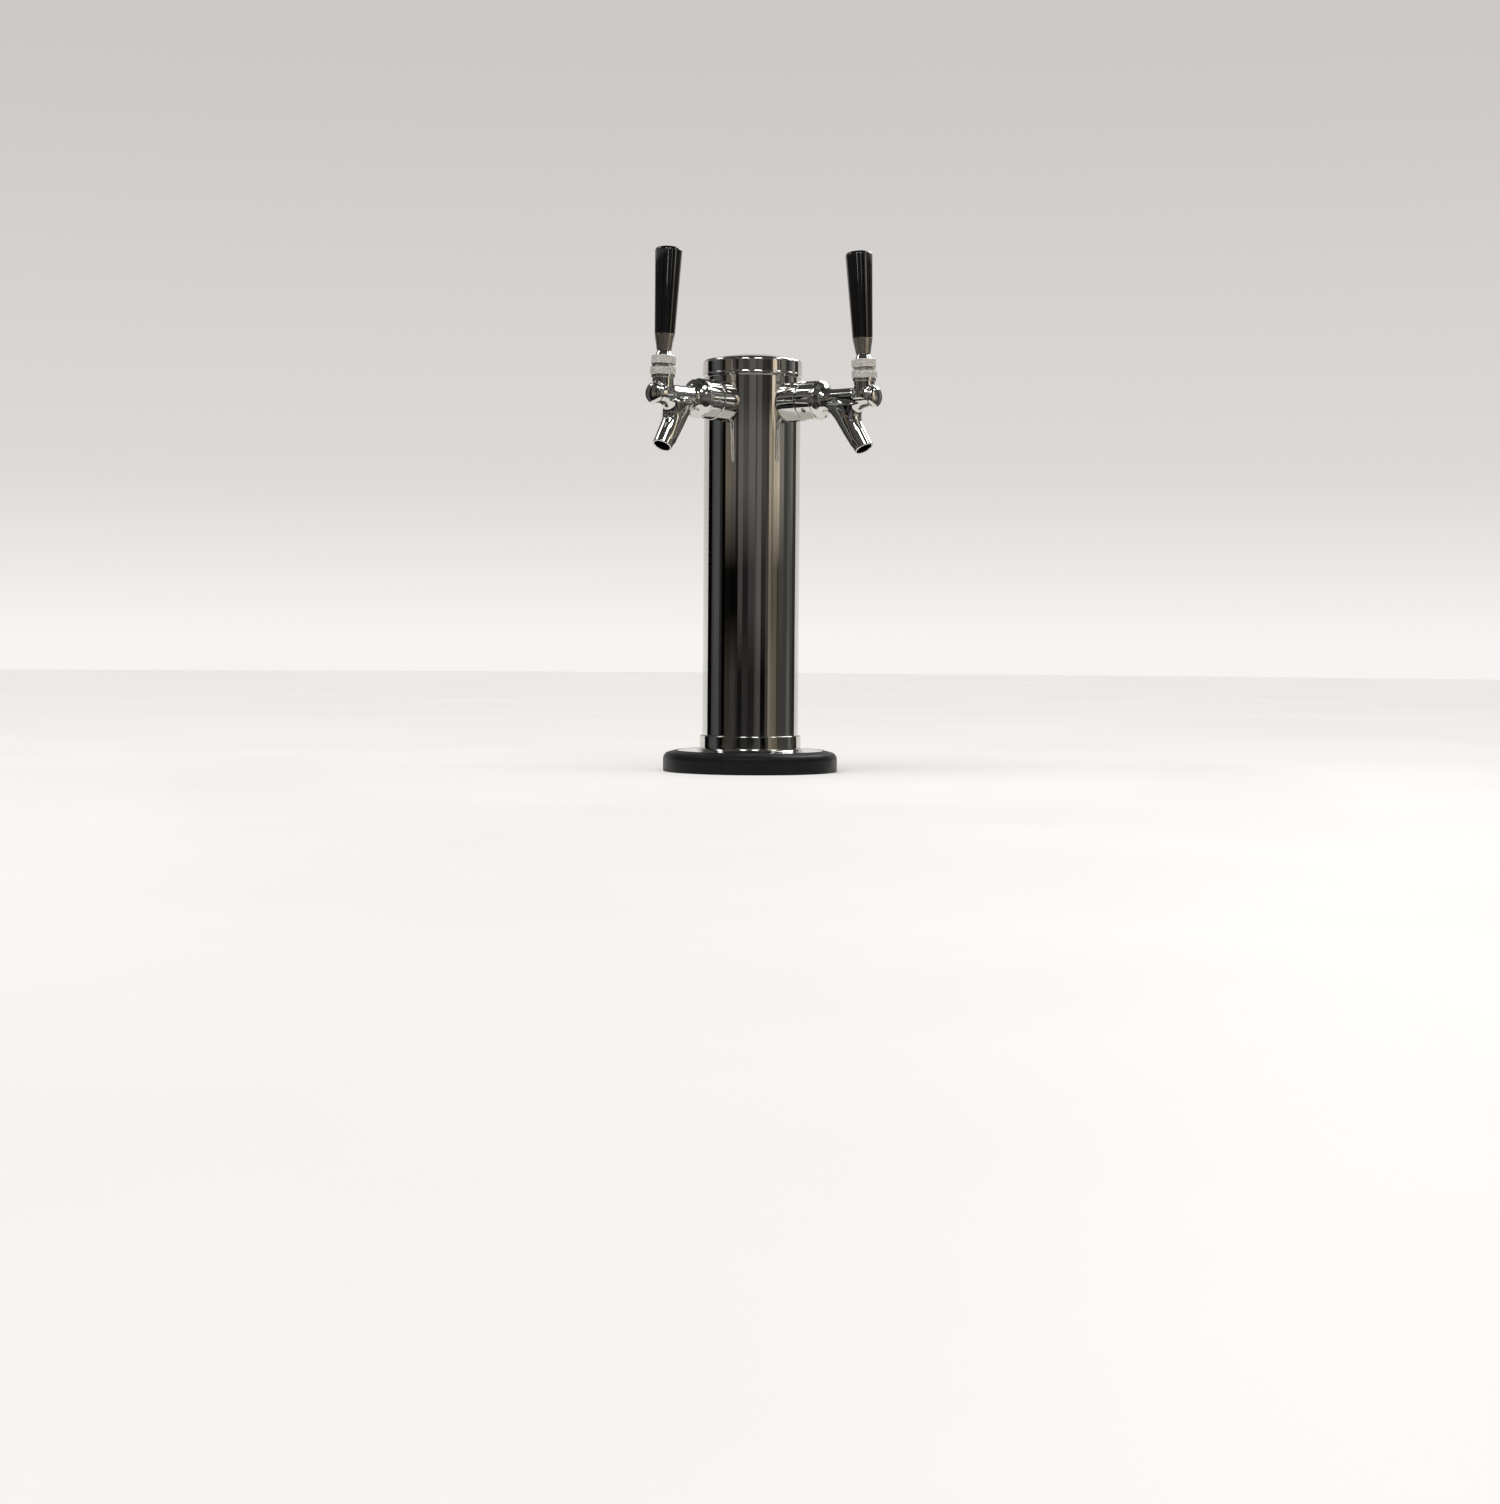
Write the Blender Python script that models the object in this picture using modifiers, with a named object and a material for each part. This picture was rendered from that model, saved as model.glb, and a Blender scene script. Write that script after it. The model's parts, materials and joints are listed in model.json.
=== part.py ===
"""Twin-tap draught beer tower: a 3-inch column on a riser ring, with two standard faucets 90 degrees apart.

Frame: metres, +Z up, front towards -Y. The origin is on the riser's underside, below the middle of the
tower's outline, so the column's axis stands TOWER_Y behind it. Each faucet is modelled in a frame of its
own: X runs outward along the barrel from the column's axis, Z runs up from the barrel's axis.
"""
import math

import bmesh
import bpy

# Sides of the turned shapes
BIG_STEPS = 36
MID_STEPS = 18
BODY_STEPS = 20
SMALL_STEPS = 12
GAP = 0.0003                      # left between pieces that touch
MERGE = 0.00001
CUTTER_PHASE = math.radians(4.0)    # keeps a cutter's corners off the corners of what it cuts

# Column, a 3-inch tube
COLUMN_R = 0.0381
COLUMN_WALL = 0.0015
COLUMN_INNER_R = COLUMN_R - COLUMN_WALL
COLUMN_TOP = 0.3205
PASSAGE_R = 0.0330                # hole through the riser and the flange for the beer lines

# Riser ring and base flange
RISER_R = 0.0692
RISER_SIDE_TOP = 0.0095
RISER_EDGE = 0.0006               # chamfer round the foot
RISER_SHOULDER_R = 0.0642
RISER_SHOULDER_RISE = 0.0057
RISER_LIP = (0.0594, 0.0166)      # radius and height of the lip round the flange
RISER_SEAT = 0.0142
FLANGE_R = 0.0580
FLANGE_EDGE = 0.0005
FLANGE_BOTTOM = RISER_SEAT + GAP
FLANGE_TOP = 0.0165
LEDGE_TOP = FLANGE_TOP + GAP
COLUMN_BOTTOM = LEDGE_TOP + GAP
COLLAR_R = 0.0402
COLLAR_EDGE = 0.0009
COLLAR_FILLET = 0.0034
COLLAR_INNER_R = COLUMN_R + GAP
COLLAR_TOP = 0.0288
SCREW_COUNT = 4
SCREW_CIRCLE_R = 0.0500
SCREW_R = 0.0024
SCREW_HEAD_R = 0.0042
SCREW_CLEARANCE = 0.0004
SCREW_SOCKET_R = 0.0016
SCREW_SOCKET_DEPTH = 0.0012
SCREW_END = 0.0008

# Press-on cap
CAP_R = 0.0393
CAP_INNER_R = COLUMN_R + GAP
CAP_BOTTOM = 0.3101
CAP_SHOULDER = 0.3247
CAP_TOP = 0.3289
CAP_WALL = 0.0010
CAP_EDGE_R = 0.0028

# Faucets: distances along the barrel from the column's axis, heights above the barrel's axis
BARREL_Z = 0.2900
HALF_SPREAD = math.radians(45.0)  # each faucet's angle from the front
FAUCET_TURNS = {"right": HALF_SPREAD - math.pi / 2.0, "left": -HALF_SPREAD - math.pi / 2.0}
BARREL_R = 0.0080
NOSE_S = 0.1192
NOSE_HALF = 0.0042
NOSE_R = 0.0083
PIVOT_S = 0.1092
PIVOT_H = 0.0141
BODY_REAR = 0.0613
SHOULDER_S = 0.0677
BELL_R = 0.0155
BARREL_POINTS = [(0.0074, 0.1165), (BARREL_R, 0.1130), (BARREL_R, 0.0810)]
BELL_POINTS = [(0.0081, 0.0790), (0.0086, 0.0766), (0.0096, 0.0746), (0.0113, 0.0728),
               (0.0134, 0.0711), (0.0149, 0.0697), (BELL_R, 0.0684), (BELL_R, SHOULDER_S)]
THREAD_R = 0.0126
CHAMBER_R = 0.0085
SEAT_S = 0.0750
BORE_R = 0.0054
BORE_END = 0.1165
NECK_R = 0.0082
NECK_TOP = 0.0160
BALL_BORE_R = 0.0069
BALL_SEAT = 0.0072
TAIL_BORE_R = 0.0050

# Spout, which leans forward on its way down
SPOUT_R = 0.0077
SPOUT_BORE_R = 0.0062
SPOUT_LEAN = math.radians(31.0)
OUTLET_S = 0.1098
OUTLET_H = -0.0391
SPOUT_LENGTH = 0.0440
SPOUT_BORE_LENGTH = 0.0420
WEB_THICKNESS = 0.0110
WEB_POINTS = [(0.0725, -0.0040), (0.0740, -0.0078), (0.0780, -0.0101), (0.0820, -0.0132),
              (0.0861, -0.0175), (0.0905, -0.0238), (0.0960, -0.0180), (0.0960, -0.0040)]
SCOOP_CENTRE = (0.1170, 0.0, -0.0148)
SCOOP_R = 0.0074
VENT_R = 0.0016
VENT_LENGTH = 0.0120
VENT_TURN = math.radians(-100.0)

# Saddle, coupling nut, shank and what is on its inner end
SADDLE_R = 0.0156
SADDLE_END = 0.0529
NUT_START = SADDLE_END + GAP
NUT_END = SHOULDER_S - GAP
NUT_R = 0.0154
NUT_LIP_END = 0.0560
SHANK_R = 0.0111
SHANK_START = 0.0200
SHANK_BORE_R = 0.0032
SHANK_FLANGE = (NUT_LIP_END + GAP, 0.0588)
SHANK_FLANGE_R = 0.0125
SHANK_HOLE_R = SHANK_R + GAP
COUPLING_WASHER = (SHANK_FLANGE[1] + GAP, BODY_REAR - GAP)
COUPLING_WASHER_R = (0.0072, 0.0122)
SPANNER_HOLES = 3
SPANNER_HOLE_R = 0.0018
SPANNER_HOLE_DEPTH = 0.0018
SPANNER_TURNS = {"right": math.radians(3.0), "left": math.radians(18.0)}
SHANK_WASHER_R = 0.0160
SHANK_WASHER_START = 0.0300
LOCKNUT = (0.0250, SHANK_WASHER_START - GAP)
LOCKNUT_R = 0.0156
ELBOW_S = 0.0132
ELBOW_R = 0.0056
ELBOW_DROP = 0.0270
ELBOW_BORE_R = 0.0028
BARB_R = 0.0050
BARB_ROOT_R = 0.0040
BARBS = 3
BARB_PITCH = 0.0045

# Bonnet, bushing and lever: the collar's hollow and the bonnet's dome are both round the pivot
BONNET_R = 0.00975
BONNET_BOTTOM = 0.0120
BONNET_THREAD_R = NECK_R + GAP
BONNET_HOLE_R = 0.0058
BONNET_DOME = [(0.0070, 0.0096), (0.0079, 0.0091), (0.0089, 0.0083), (0.0096, 0.0073),
               (BONNET_R, 0.0068)]      # radius, height above the pivot
BUSHING = (NECK_TOP + GAP, 0.0184)
HOLLOW_R = 0.0126
BALL_R = 0.0066
STEM_R = 0.0030
TAIL_R = 0.0015
TAIL_BALL_R = 0.0029
LEVER_LEAN = math.radians(3.7)
COLLAR_RING_R = 0.0093
COLLAR_RING_TOP = 0.0146
LIP_R = 0.0060
LIP_TOP = 0.0182
STEM_TOP = 0.0500
FERRULE_TOP = 0.0309
FERRULE_R = (0.0055, 0.0077)
GRIP_TOP = 0.0976
GRIP_R = (0.0078, 0.0104)
GRIP_EDGE_R = 0.0030

# Shaft in the barrel
SHAFT_R = 0.0024
SHAFT_START = 0.0668
SHAFT_HEAD = (0.1040, 0.1158)
SHAFT_HEAD_R = 0.0049
SHAFT_SLOT = 0.0066
SEAT_WASHER = (0.0706, SEAT_S - GAP)
SEAT_WASHER_R = 0.0076
SHAFT_NUT = (0.0672, SEAT_WASHER[0] - GAP)
SHAFT_NUT_R = 0.0046

# The column's axis is set back so that the origin is below the middle of the outline
FRONT_REACH = (NOSE_S + math.hypot(NOSE_HALF, NOSE_R)) * math.cos(HALF_SPREAD)
TOWER_Y = (FRONT_REACH - RISER_R) / 2.0

CHROME = ((0.62, 0.62, 0.60), 1.0, 0.08)
STAINLESS = ((0.56, 0.55, 0.53), 1.0, 0.12)
SATIN = ((0.55, 0.54, 0.51), 1.0, 0.35)
BRASS = ((0.72, 0.52, 0.25), 1.0, 0.30)
BLACK_GLOSS = ((0.012, 0.011, 0.011), 0.0, 0.12)
BLACK_MATTE = ((0.015, 0.015, 0.016), 0.0, 0.65)
RUBBER = ((0.03, 0.03, 0.03), 0.0, 0.80)
NYLON = ((0.75, 0.74, 0.70), 0.0, 0.45)


def clear_scene():
    for item in list(bpy.data.objects):
        bpy.data.objects.remove(item, do_unlink=True)


def new_collection(name):
    collection = bpy.data.collections.new(name)
    bpy.context.scene.collection.children.link(collection)
    return collection


clear_scene()
PARTS = new_collection("beer_tower")
CUTTERS = new_collection("beer_tower_cutters")


def put(item, collection, parent, location, rotation):
    collection.objects.link(item)
    item.parent = parent
    item.location = location
    item.rotation_euler = rotation
    if collection is CUTTERS:
        item.hide_render = True
        item.display_type = "WIRE"
    return item


def empty(name, location, rotation=(0.0, 0.0, 0.0), parent=None):
    return put(bpy.data.objects.new(name, None), PARTS, parent, location, rotation)


def turned(name, profile, steps, parent, collection,
           location=(0.0, 0.0, 0.0), rotation=(0.0, 0.0, 0.0), phase=0.0):
    """Turn (radius, height) points round Z. They run out from the top, down the outside and back in."""
    points = [(radius * math.cos(phase), radius * math.sin(phase), height)
              for radius, height in profile]
    edges = [(i, i + 1) for i in range(len(points) - 1)]
    closes_on_axis = profile[0][0] == 0.0 and profile[-1][0] == 0.0
    if not closes_on_axis:
        edges.append((len(points) - 1, 0))
    mesh = bpy.data.meshes.new(name)
    mesh.from_pydata(points, edges, [])
    item = put(bpy.data.objects.new(name, mesh), collection, parent, location, rotation)
    screw = item.modifiers.new("turn", "SCREW")
    screw.steps = steps
    screw.render_steps = steps
    screw.use_merge_vertices = True
    screw.merge_threshold = MERGE
    return item


def rod(name, radius, start, end, steps, parent,
        location=(0.0, 0.0, 0.0), rotation=(0.0, 0.0, 0.0), phase=0.0):
    """A plain cylinder to cut or join with."""
    profile = [(0.0, end), (radius, end), (radius, start), (0.0, start)]
    return turned(name, profile, steps, parent, CUTTERS, location, rotation, phase)


def block(name, size, parent, location, collection):
    bpy.ops.mesh.primitive_cube_add(size=1.0)
    item = bpy.context.object
    item.name = name
    item.data.transform(item.matrix_world)
    for vertex in item.data.vertices:
        vertex.co = [vertex.co[axis] * size[axis] for axis in range(3)]
    for old in list(item.users_collection):
        old.objects.unlink(item)
    return put(item, collection, parent, location, (0.0, 0.0, 0.0))


def flat_outline(name, points, thickness, parent, collection):
    """Extrude an outline of (x, z) points, half its thickness to each side of the XZ plane."""
    curve = bpy.data.curves.new(name, "CURVE")
    curve.dimensions = "2D"
    curve.fill_mode = "BOTH"
    curve.extrude = thickness / 2.0
    spline = curve.splines.new("POLY")
    spline.points.add(len(points) - 1)
    for point, (x, z) in zip(spline.points, points):
        point.co = (x, z, 0.0, 1.0)
    spline.use_cyclic_u = True
    guide = bpy.data.objects.new(name + "_curve", curve)
    bpy.context.scene.collection.objects.link(guide)
    bpy.context.view_layer.update()
    evaluated = guide.evaluated_get(bpy.context.evaluated_depsgraph_get())
    mesh = bpy.data.meshes.new_from_object(evaluated)
    weld(mesh)
    bpy.data.objects.remove(guide)
    outline = bpy.data.objects.new(name, mesh)
    return put(outline, collection, parent, (0.0, 0.0, 0.0), (math.pi / 2.0, 0.0, 0.0))


def weld(mesh):
    shape = bmesh.new()
    shape.from_mesh(mesh)
    bmesh.ops.remove_doubles(shape, verts=shape.verts, dist=MERGE)
    bmesh.ops.recalc_face_normals(shape, faces=shape.faces)
    shape.to_mesh(mesh)
    shape.free()


def combine(item, other, operation):
    boolean = item.modifiers.new(operation.lower() + "_" + other.name, "BOOLEAN")
    boolean.object = other
    boolean.operation = operation
    boolean.solver = "EXACT"
    return item


def material(name, look):
    colour, metallic, roughness = look
    result = bpy.data.materials.new(name)
    result.use_nodes = True
    shader = result.node_tree.nodes["Principled BSDF"]
    shader.inputs["Base Color"].default_value = (*colour, 1.0)
    shader.inputs["Metallic"].default_value = metallic
    shader.inputs["Roughness"].default_value = roughness
    result.diffuse_color = (*colour, 1.0)
    return result


LOOKS = {}


def finish(item, look):
    """Remember the material that a part gets once its shape is settled."""
    LOOKS[item.name] = look
    return item


def settle_parts():
    """Make every part a plain mesh with smooth round sides, crisp edges and a material of its own."""
    bpy.context.view_layer.update()
    depsgraph = bpy.context.evaluated_depsgraph_get()
    meshes = {}
    for item in PARTS.objects:
        if item.type == "MESH":
            meshes[item.name] = bpy.data.meshes.new_from_object(item.evaluated_get(depsgraph))
    for name, mesh in meshes.items():
        item = bpy.data.objects[name]
        item.modifiers.clear()
        item.data = mesh
        mesh.name = name
        mesh.shade_smooth()
        mesh.set_sharp_from_angle(angle=math.radians(35.0))
        mesh.materials.clear()
        mesh.materials.append(material(name, LOOKS[name]))


def arc(centre_r, centre_z, radius_r, radius_z, start, end, count):
    """Points on an ellipse, from one angle to another in degrees, 0 outward and 90 upward."""
    points = []
    for i in range(count + 1):
        angle = math.radians(start + (end - start) * i / count)
        points.append((centre_r + radius_r * math.cos(angle), centre_z + radius_z * math.sin(angle)))
    return points


def ring(name, inner, outer, start, end, steps, parent, collection, rotation=(0.0, 0.0, 0.0)):
    profile = [(inner, end), (outer, end), (outer, start), (inner, start)]
    return turned(name, profile, steps, parent, collection, rotation=rotation)


ALONG_X = (0.0, math.pi / 2.0, 0.0)


def screw_place(index):
    angle = math.radians(45.0) + 2.0 * math.pi * index / SCREW_COUNT
    return (SCREW_CIRCLE_R * math.cos(angle), SCREW_CIRCLE_R * math.sin(angle), 0.0)


def screw_profile(extra, bottom, top):
    """A countersunk screw, or with extra the hole that it goes through."""
    head = SCREW_HEAD_R + extra
    shank = SCREW_R + extra
    cone_top = FLANGE_TOP - extra / 2.0
    cone_bottom = cone_top - (SCREW_HEAD_R - SCREW_R)
    return [(0.0, top), (head, top), (head, cone_top), (shank, cone_bottom), (shank, bottom), (0.0, bottom)]


def make_riser(tower):
    """The black ring under the flange, with a lip that stands round the flange's rim."""
    lip_r, lip_z = RISER_LIP
    recess_r = FLANGE_R + 0.0004
    profile = [(PASSAGE_R, RISER_SEAT), (recess_r, RISER_SEAT), (recess_r, lip_z - GAP), (lip_r, lip_z)]
    profile += [(RISER_SHOULDER_R - 0.0014, lip_z - 0.0008)]
    profile += arc(RISER_SHOULDER_R, RISER_SIDE_TOP, RISER_R - RISER_SHOULDER_R, RISER_SHOULDER_RISE,
                   75.0, 0.0, 4)
    profile += [(RISER_R, RISER_EDGE), (RISER_R - RISER_EDGE, 0.0), (PASSAGE_R, 0.0)]
    riser = turned("riser_ring", profile, BIG_STEPS, tower, PARTS)
    for index in range(SCREW_COUNT):
        hole = rod(f"riser_hole_{index}", SCREW_R + SCREW_CLEARANCE, -0.001, 0.020, SMALL_STEPS,
                   tower, location=screw_place(index))
        combine(riser, hole, "DIFFERENCE")
    finish(riser, BLACK_MATTE)


def make_flange(tower):
    """The chrome disc and the collar that the column stands in, on a ledge inside it."""
    ledge_r = PASSAGE_R + 0.001
    profile = [(COLLAR_INNER_R, COLLAR_TOP), (COLLAR_R - COLLAR_EDGE, COLLAR_TOP)]
    profile += [(COLLAR_R, COLLAR_TOP - COLLAR_EDGE)]
    profile += arc(COLLAR_R + COLLAR_FILLET, FLANGE_TOP + COLLAR_FILLET, COLLAR_FILLET, COLLAR_FILLET,
                   180.0, 270.0, 4)
    profile += [(FLANGE_R - FLANGE_EDGE, FLANGE_TOP), (FLANGE_R, FLANGE_TOP - FLANGE_EDGE)]
    profile += [(FLANGE_R, FLANGE_BOTTOM), (ledge_r, FLANGE_BOTTOM), (ledge_r, LEDGE_TOP)]
    profile += [(COLLAR_INNER_R, LEDGE_TOP)]
    flange = turned("base_flange", profile, BIG_STEPS, tower, PARTS)
    for index in range(SCREW_COUNT):
        hole = turned(f"flange_hole_{index}", screw_profile(SCREW_CLEARANCE, 0.010, 0.020), SMALL_STEPS,
                      tower, CUTTERS, location=screw_place(index))
        combine(flange, hole, "DIFFERENCE")
    finish(flange, CHROME)


def make_flange_screws(tower):
    for index in range(SCREW_COUNT):
        screw = turned(f"flange_screw_{index + 1}", screw_profile(0.0, SCREW_END, FLANGE_TOP), SMALL_STEPS,
                       tower, PARTS, location=screw_place(index))
        socket = rod(f"screw_socket_{index}", SCREW_SOCKET_R, FLANGE_TOP - SCREW_SOCKET_DEPTH,
                     FLANGE_TOP + 0.002, 6, tower, location=screw_place(index))
        combine(screw, socket, "DIFFERENCE")
        finish(screw, SATIN)


def make_column(tower, faucets):
    column = ring("column_tube", COLUMN_INNER_R, COLUMN_R, COLUMN_BOTTOM, COLUMN_TOP, BIG_STEPS,
                  tower, PARTS)
    for side, faucet in faucets.items():
        hole = rod(f"{side}_column_hole", SHANK_HOLE_R + GAP, 0.020, 0.060, MID_STEPS, faucet,
                   rotation=ALONG_X)
        combine(column, hole, "DIFFERENCE")
    finish(column, STAINLESS)


def make_cap(tower):
    """A pressed cup: a shallow dome that turns down through a rounded edge into a straight skirt."""
    edge_r = CAP_R - CAP_EDGE_R
    edge_z = CAP_SHOULDER - CAP_EDGE_R
    edge = arc(edge_r, edge_z, CAP_EDGE_R, CAP_EDGE_R, 76.0, 10.0, 3)
    rise = CAP_TOP - edge[0][1]
    dome = [(0.0, CAP_TOP)]
    for share in (0.3, 0.6, 0.85):
        dome.append((edge[0][0] * share, CAP_TOP - rise * share ** 2))
    inner_dome = [(radius, height - CAP_WALL) for radius, height in reversed(dome)]
    skirt = [(CAP_R, CAP_BOTTOM + 0.0003), (CAP_R - 0.0003, CAP_BOTTOM), (CAP_INNER_R, CAP_BOTTOM)]
    inner_edge = [(CAP_INNER_R, edge_z), (edge_r, CAP_SHOULDER - CAP_WALL - 0.0006)]
    profile = dome + edge + skirt + inner_edge + inner_dome
    finish(turned("top_cap", profile, BIG_STEPS, tower, PARTS), CHROME)


def make_saddle(side, faucet, tower):
    """The chrome spacer between the column and the coupling nut, cut to sit on the column."""
    profile = [(SHANK_HOLE_R, SADDLE_END), (SADDLE_R - 0.0004, SADDLE_END)]
    profile += [(SADDLE_R, SADDLE_END - 0.0004), (SADDLE_R, 0.030), (SHANK_HOLE_R, 0.030)]
    saddle = turned(f"{side}_saddle", profile, MID_STEPS, faucet, PARTS, rotation=ALONG_X)
    seat = rod(f"{side}_saddle_seat", COLUMN_R + GAP, 0.250, 0.330, 2 * BIG_STEPS, tower)
    combine(saddle, seat, "DIFFERENCE")
    finish(saddle, CHROME)


def make_shank(side, faucet):
    flange_start, flange_end = SHANK_FLANGE
    profile = [(SHANK_BORE_R, flange_end), (SHANK_FLANGE_R, flange_end), (SHANK_FLANGE_R, flange_start)]
    profile += [(SHANK_R, flange_start), (SHANK_R, SHANK_START), (SHANK_BORE_R, SHANK_START)]
    finish(turned(f"{side}_shank", profile, MID_STEPS, faucet, PARTS, rotation=ALONG_X), BRASS)


def make_shank_washer(side, faucet, tower):
    washer = ring(f"{side}_shank_washer", SHANK_HOLE_R, SHANK_WASHER_R, SHANK_WASHER_START, 0.040,
                  MID_STEPS, faucet, PARTS, rotation=ALONG_X)
    inside = rod(f"{side}_column_inside", COLUMN_INNER_R - GAP, 0.250, 0.330, 2 * BIG_STEPS, tower)
    combine(washer, inside, "INTERSECT")
    finish(washer, SATIN)


def make_locknut(side, faucet):
    start, end = LOCKNUT
    profile = [(0.0, end), (LOCKNUT_R, end), (LOCKNUT_R, start), (0.0, start)]
    nut = turned(f"{side}_shank_locknut", profile, 6, faucet, PARTS, rotation=ALONG_X)
    hole = rod(f"{side}_locknut_hole", SHANK_HOLE_R, start - 0.001, end + 0.001, MID_STEPS, faucet,
               rotation=ALONG_X)
    combine(nut, hole, "DIFFERENCE")
    finish(nut, BRASS)


def make_elbow(side, faucet):
    """The 90-degree tail that a beer line is pushed onto, inside the column."""
    profile = [(0.0, ELBOW_R), (ELBOW_R, ELBOW_R), (ELBOW_R, -0.0075), (BARB_ROOT_R, -0.0080)]
    for barb in range(BARBS):
        top = -0.0110 - BARB_PITCH * barb
        profile += [(BARB_ROOT_R, top), (BARB_R, top - 0.0004), (BARB_ROOT_R, top - 0.0035)]
    profile += [(BARB_ROOT_R, -ELBOW_DROP), (0.0, -ELBOW_DROP)]
    elbow = turned(f"{side}_shank_elbow", profile, SMALL_STEPS, faucet, PARTS,
                   location=(ELBOW_S, 0.0, 0.0))
    arm = rod(f"{side}_elbow_arm", ELBOW_R - 0.0004, ELBOW_S, SHANK_START - GAP, SMALL_STEPS, faucet,
              rotation=ALONG_X)
    drop = rod(f"{side}_elbow_drop", ELBOW_BORE_R, -ELBOW_DROP - 0.001, 0.0, SMALL_STEPS, faucet,
               location=(ELBOW_S, 0.0, 0.0))
    entry = rod(f"{side}_elbow_entry", ELBOW_BORE_R, ELBOW_S - 0.0012, SHANK_START + 0.001, SMALL_STEPS,
                faucet, rotation=ALONG_X)
    combine(elbow, arm, "UNION")
    combine(elbow, drop, "DIFFERENCE")
    combine(elbow, entry, "DIFFERENCE")
    finish(elbow, SATIN)


def make_coupling_nut(side, faucet):
    profile = [(THREAD_R + GAP, NUT_END), (NUT_R - 0.0004, NUT_END), (NUT_R, NUT_END - 0.0004)]
    profile += [(NUT_R, NUT_START + 0.0004), (NUT_R - 0.0004, NUT_START), (SHANK_HOLE_R, NUT_START)]
    profile += [(SHANK_HOLE_R, NUT_LIP_END), (THREAD_R + GAP, NUT_LIP_END)]
    nut = turned(f"{side}_coupling_nut", profile, MID_STEPS, faucet, PARTS, rotation=ALONG_X)
    middle = (NUT_START + NUT_END) / 2.0
    for index in range(SPANNER_HOLES):
        turn = SPANNER_TURNS[side] + 2.0 * math.pi * index / SPANNER_HOLES
        hole = rod(f"{side}_spanner_hole_{index}", SPANNER_HOLE_R, NUT_R - SPANNER_HOLE_DEPTH,
                   NUT_R + 0.002, SMALL_STEPS, faucet, location=(middle, 0.0, 0.0),
                   rotation=(turn, 0.0, 0.0))
        combine(nut, hole, "DIFFERENCE")
    finish(nut, CHROME)


def make_coupling_washer(side, faucet):
    start, end = COUPLING_WASHER
    inner, outer = COUPLING_WASHER_R
    washer = ring(f"{side}_coupling_washer", inner, outer, start, end, MID_STEPS, faucet, PARTS,
                  rotation=ALONG_X)
    finish(washer, NYLON)


def body_profile():
    """(radius, distance) points of the turned body, from the tip of the nose to the threaded end."""
    nose = [(0.0, NOSE_S + NOSE_HALF)]
    for angle in (28.0, 58.0, 90.0, 115.0):
        turn = math.radians(angle)
        nose.append((NOSE_R * math.sin(turn), NOSE_S + NOSE_HALF * math.cos(turn)))
    thread = [(THREAD_R, SHOULDER_S), (THREAD_R, BODY_REAR), (0.0, BODY_REAR)]
    return nose + BARREL_POINTS + BELL_POINTS + thread


def make_body(side, faucet):
    """Barrel with its bell and nose, the bonnet's neck and the leaning spout, bored right through."""
    spout_turn = (0.0, math.pi - SPOUT_LEAN, 0.0)
    outlet = (OUTLET_S, 0.0, OUTLET_H)
    body = turned(f"{side}_faucet_body", body_profile(), BODY_STEPS, faucet, PARTS, rotation=ALONG_X)
    neck = rod(f"{side}_neck", NECK_R, 0.0, NECK_TOP, BODY_STEPS, faucet, location=(PIVOT_S, 0.0, 0.0))
    spout = rod(f"{side}_spout", SPOUT_R, -SPOUT_LENGTH, 0.0, BODY_STEPS, faucet, outlet, spout_turn)
    web = flat_outline(f"{side}_web", WEB_POINTS, WEB_THICKNESS, faucet, CUTTERS)
    for piece in (neck, spout, web):
        combine(body, piece, "UNION")
    rear = BODY_REAR - 0.002
    bore_profile = [(0.0, BORE_END), (BORE_R, BORE_END), (BORE_R, SEAT_S), (CHAMBER_R, SEAT_S)]
    bore_profile += [(CHAMBER_R, rear), (0.0, rear)]
    bore = turned(f"{side}_bore", bore_profile, BODY_STEPS, faucet, CUTTERS, rotation=ALONG_X)
    lever_profile = [(0.0, 0.020), (BALL_BORE_R, 0.020), (BALL_BORE_R, BALL_SEAT)]
    lever_profile += [(TAIL_BORE_R, BALL_SEAT), (TAIL_BORE_R, 0.0), (0.0, 0.0)]
    lever_bore = turned(f"{side}_lever_bore", lever_profile, BODY_STEPS, faucet, CUTTERS,
                        location=(PIVOT_S, 0.0, 0.0))
    spout_bore = rod(f"{side}_spout_bore", SPOUT_BORE_R, -SPOUT_BORE_LENGTH, 0.001, BODY_STEPS, faucet,
                     outlet, spout_turn, CUTTER_PHASE)
    ball = [(0.0, SCOOP_R)] + arc(0.0, 0.0, SCOOP_R, SCOOP_R, 67.5, -67.5, 6) + [(0.0, -SCOOP_R)]
    scoop = turned(f"{side}_scoop", ball, 16, faucet, CUTTERS, location=SCOOP_CENTRE,
                   phase=CUTTER_PHASE)
    vent = rod(f"{side}_vent", VENT_R, 0.0, VENT_LENGTH, SMALL_STEPS, faucet, SCOOP_CENTRE,
               (0.0, VENT_TURN, 0.0), CUTTER_PHASE)
    for piece in (spout_bore, scoop, vent, bore, lever_bore):
        combine(body, piece, "DIFFERENCE")
    finish(body, CHROME)


def make_bonnet(side, faucet):
    """The knurled compression ring. Its dome stays inside the hollow of the lever's collar."""
    under = BUSHING[1] + GAP
    profile = [(radius, PIVOT_H + height) for radius, height in BONNET_DOME]
    profile += [(BONNET_R, BONNET_BOTTOM + 0.0004), (BONNET_R - 0.0004, BONNET_BOTTOM)]
    profile += [(BONNET_THREAD_R, BONNET_BOTTOM), (BONNET_THREAD_R, under), (BONNET_HOLE_R, under)]
    bonnet = turned(f"{side}_bonnet", profile, MID_STEPS, faucet, PARTS, location=(PIVOT_S, 0.0, 0.0))
    finish(bonnet, SATIN)


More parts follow.
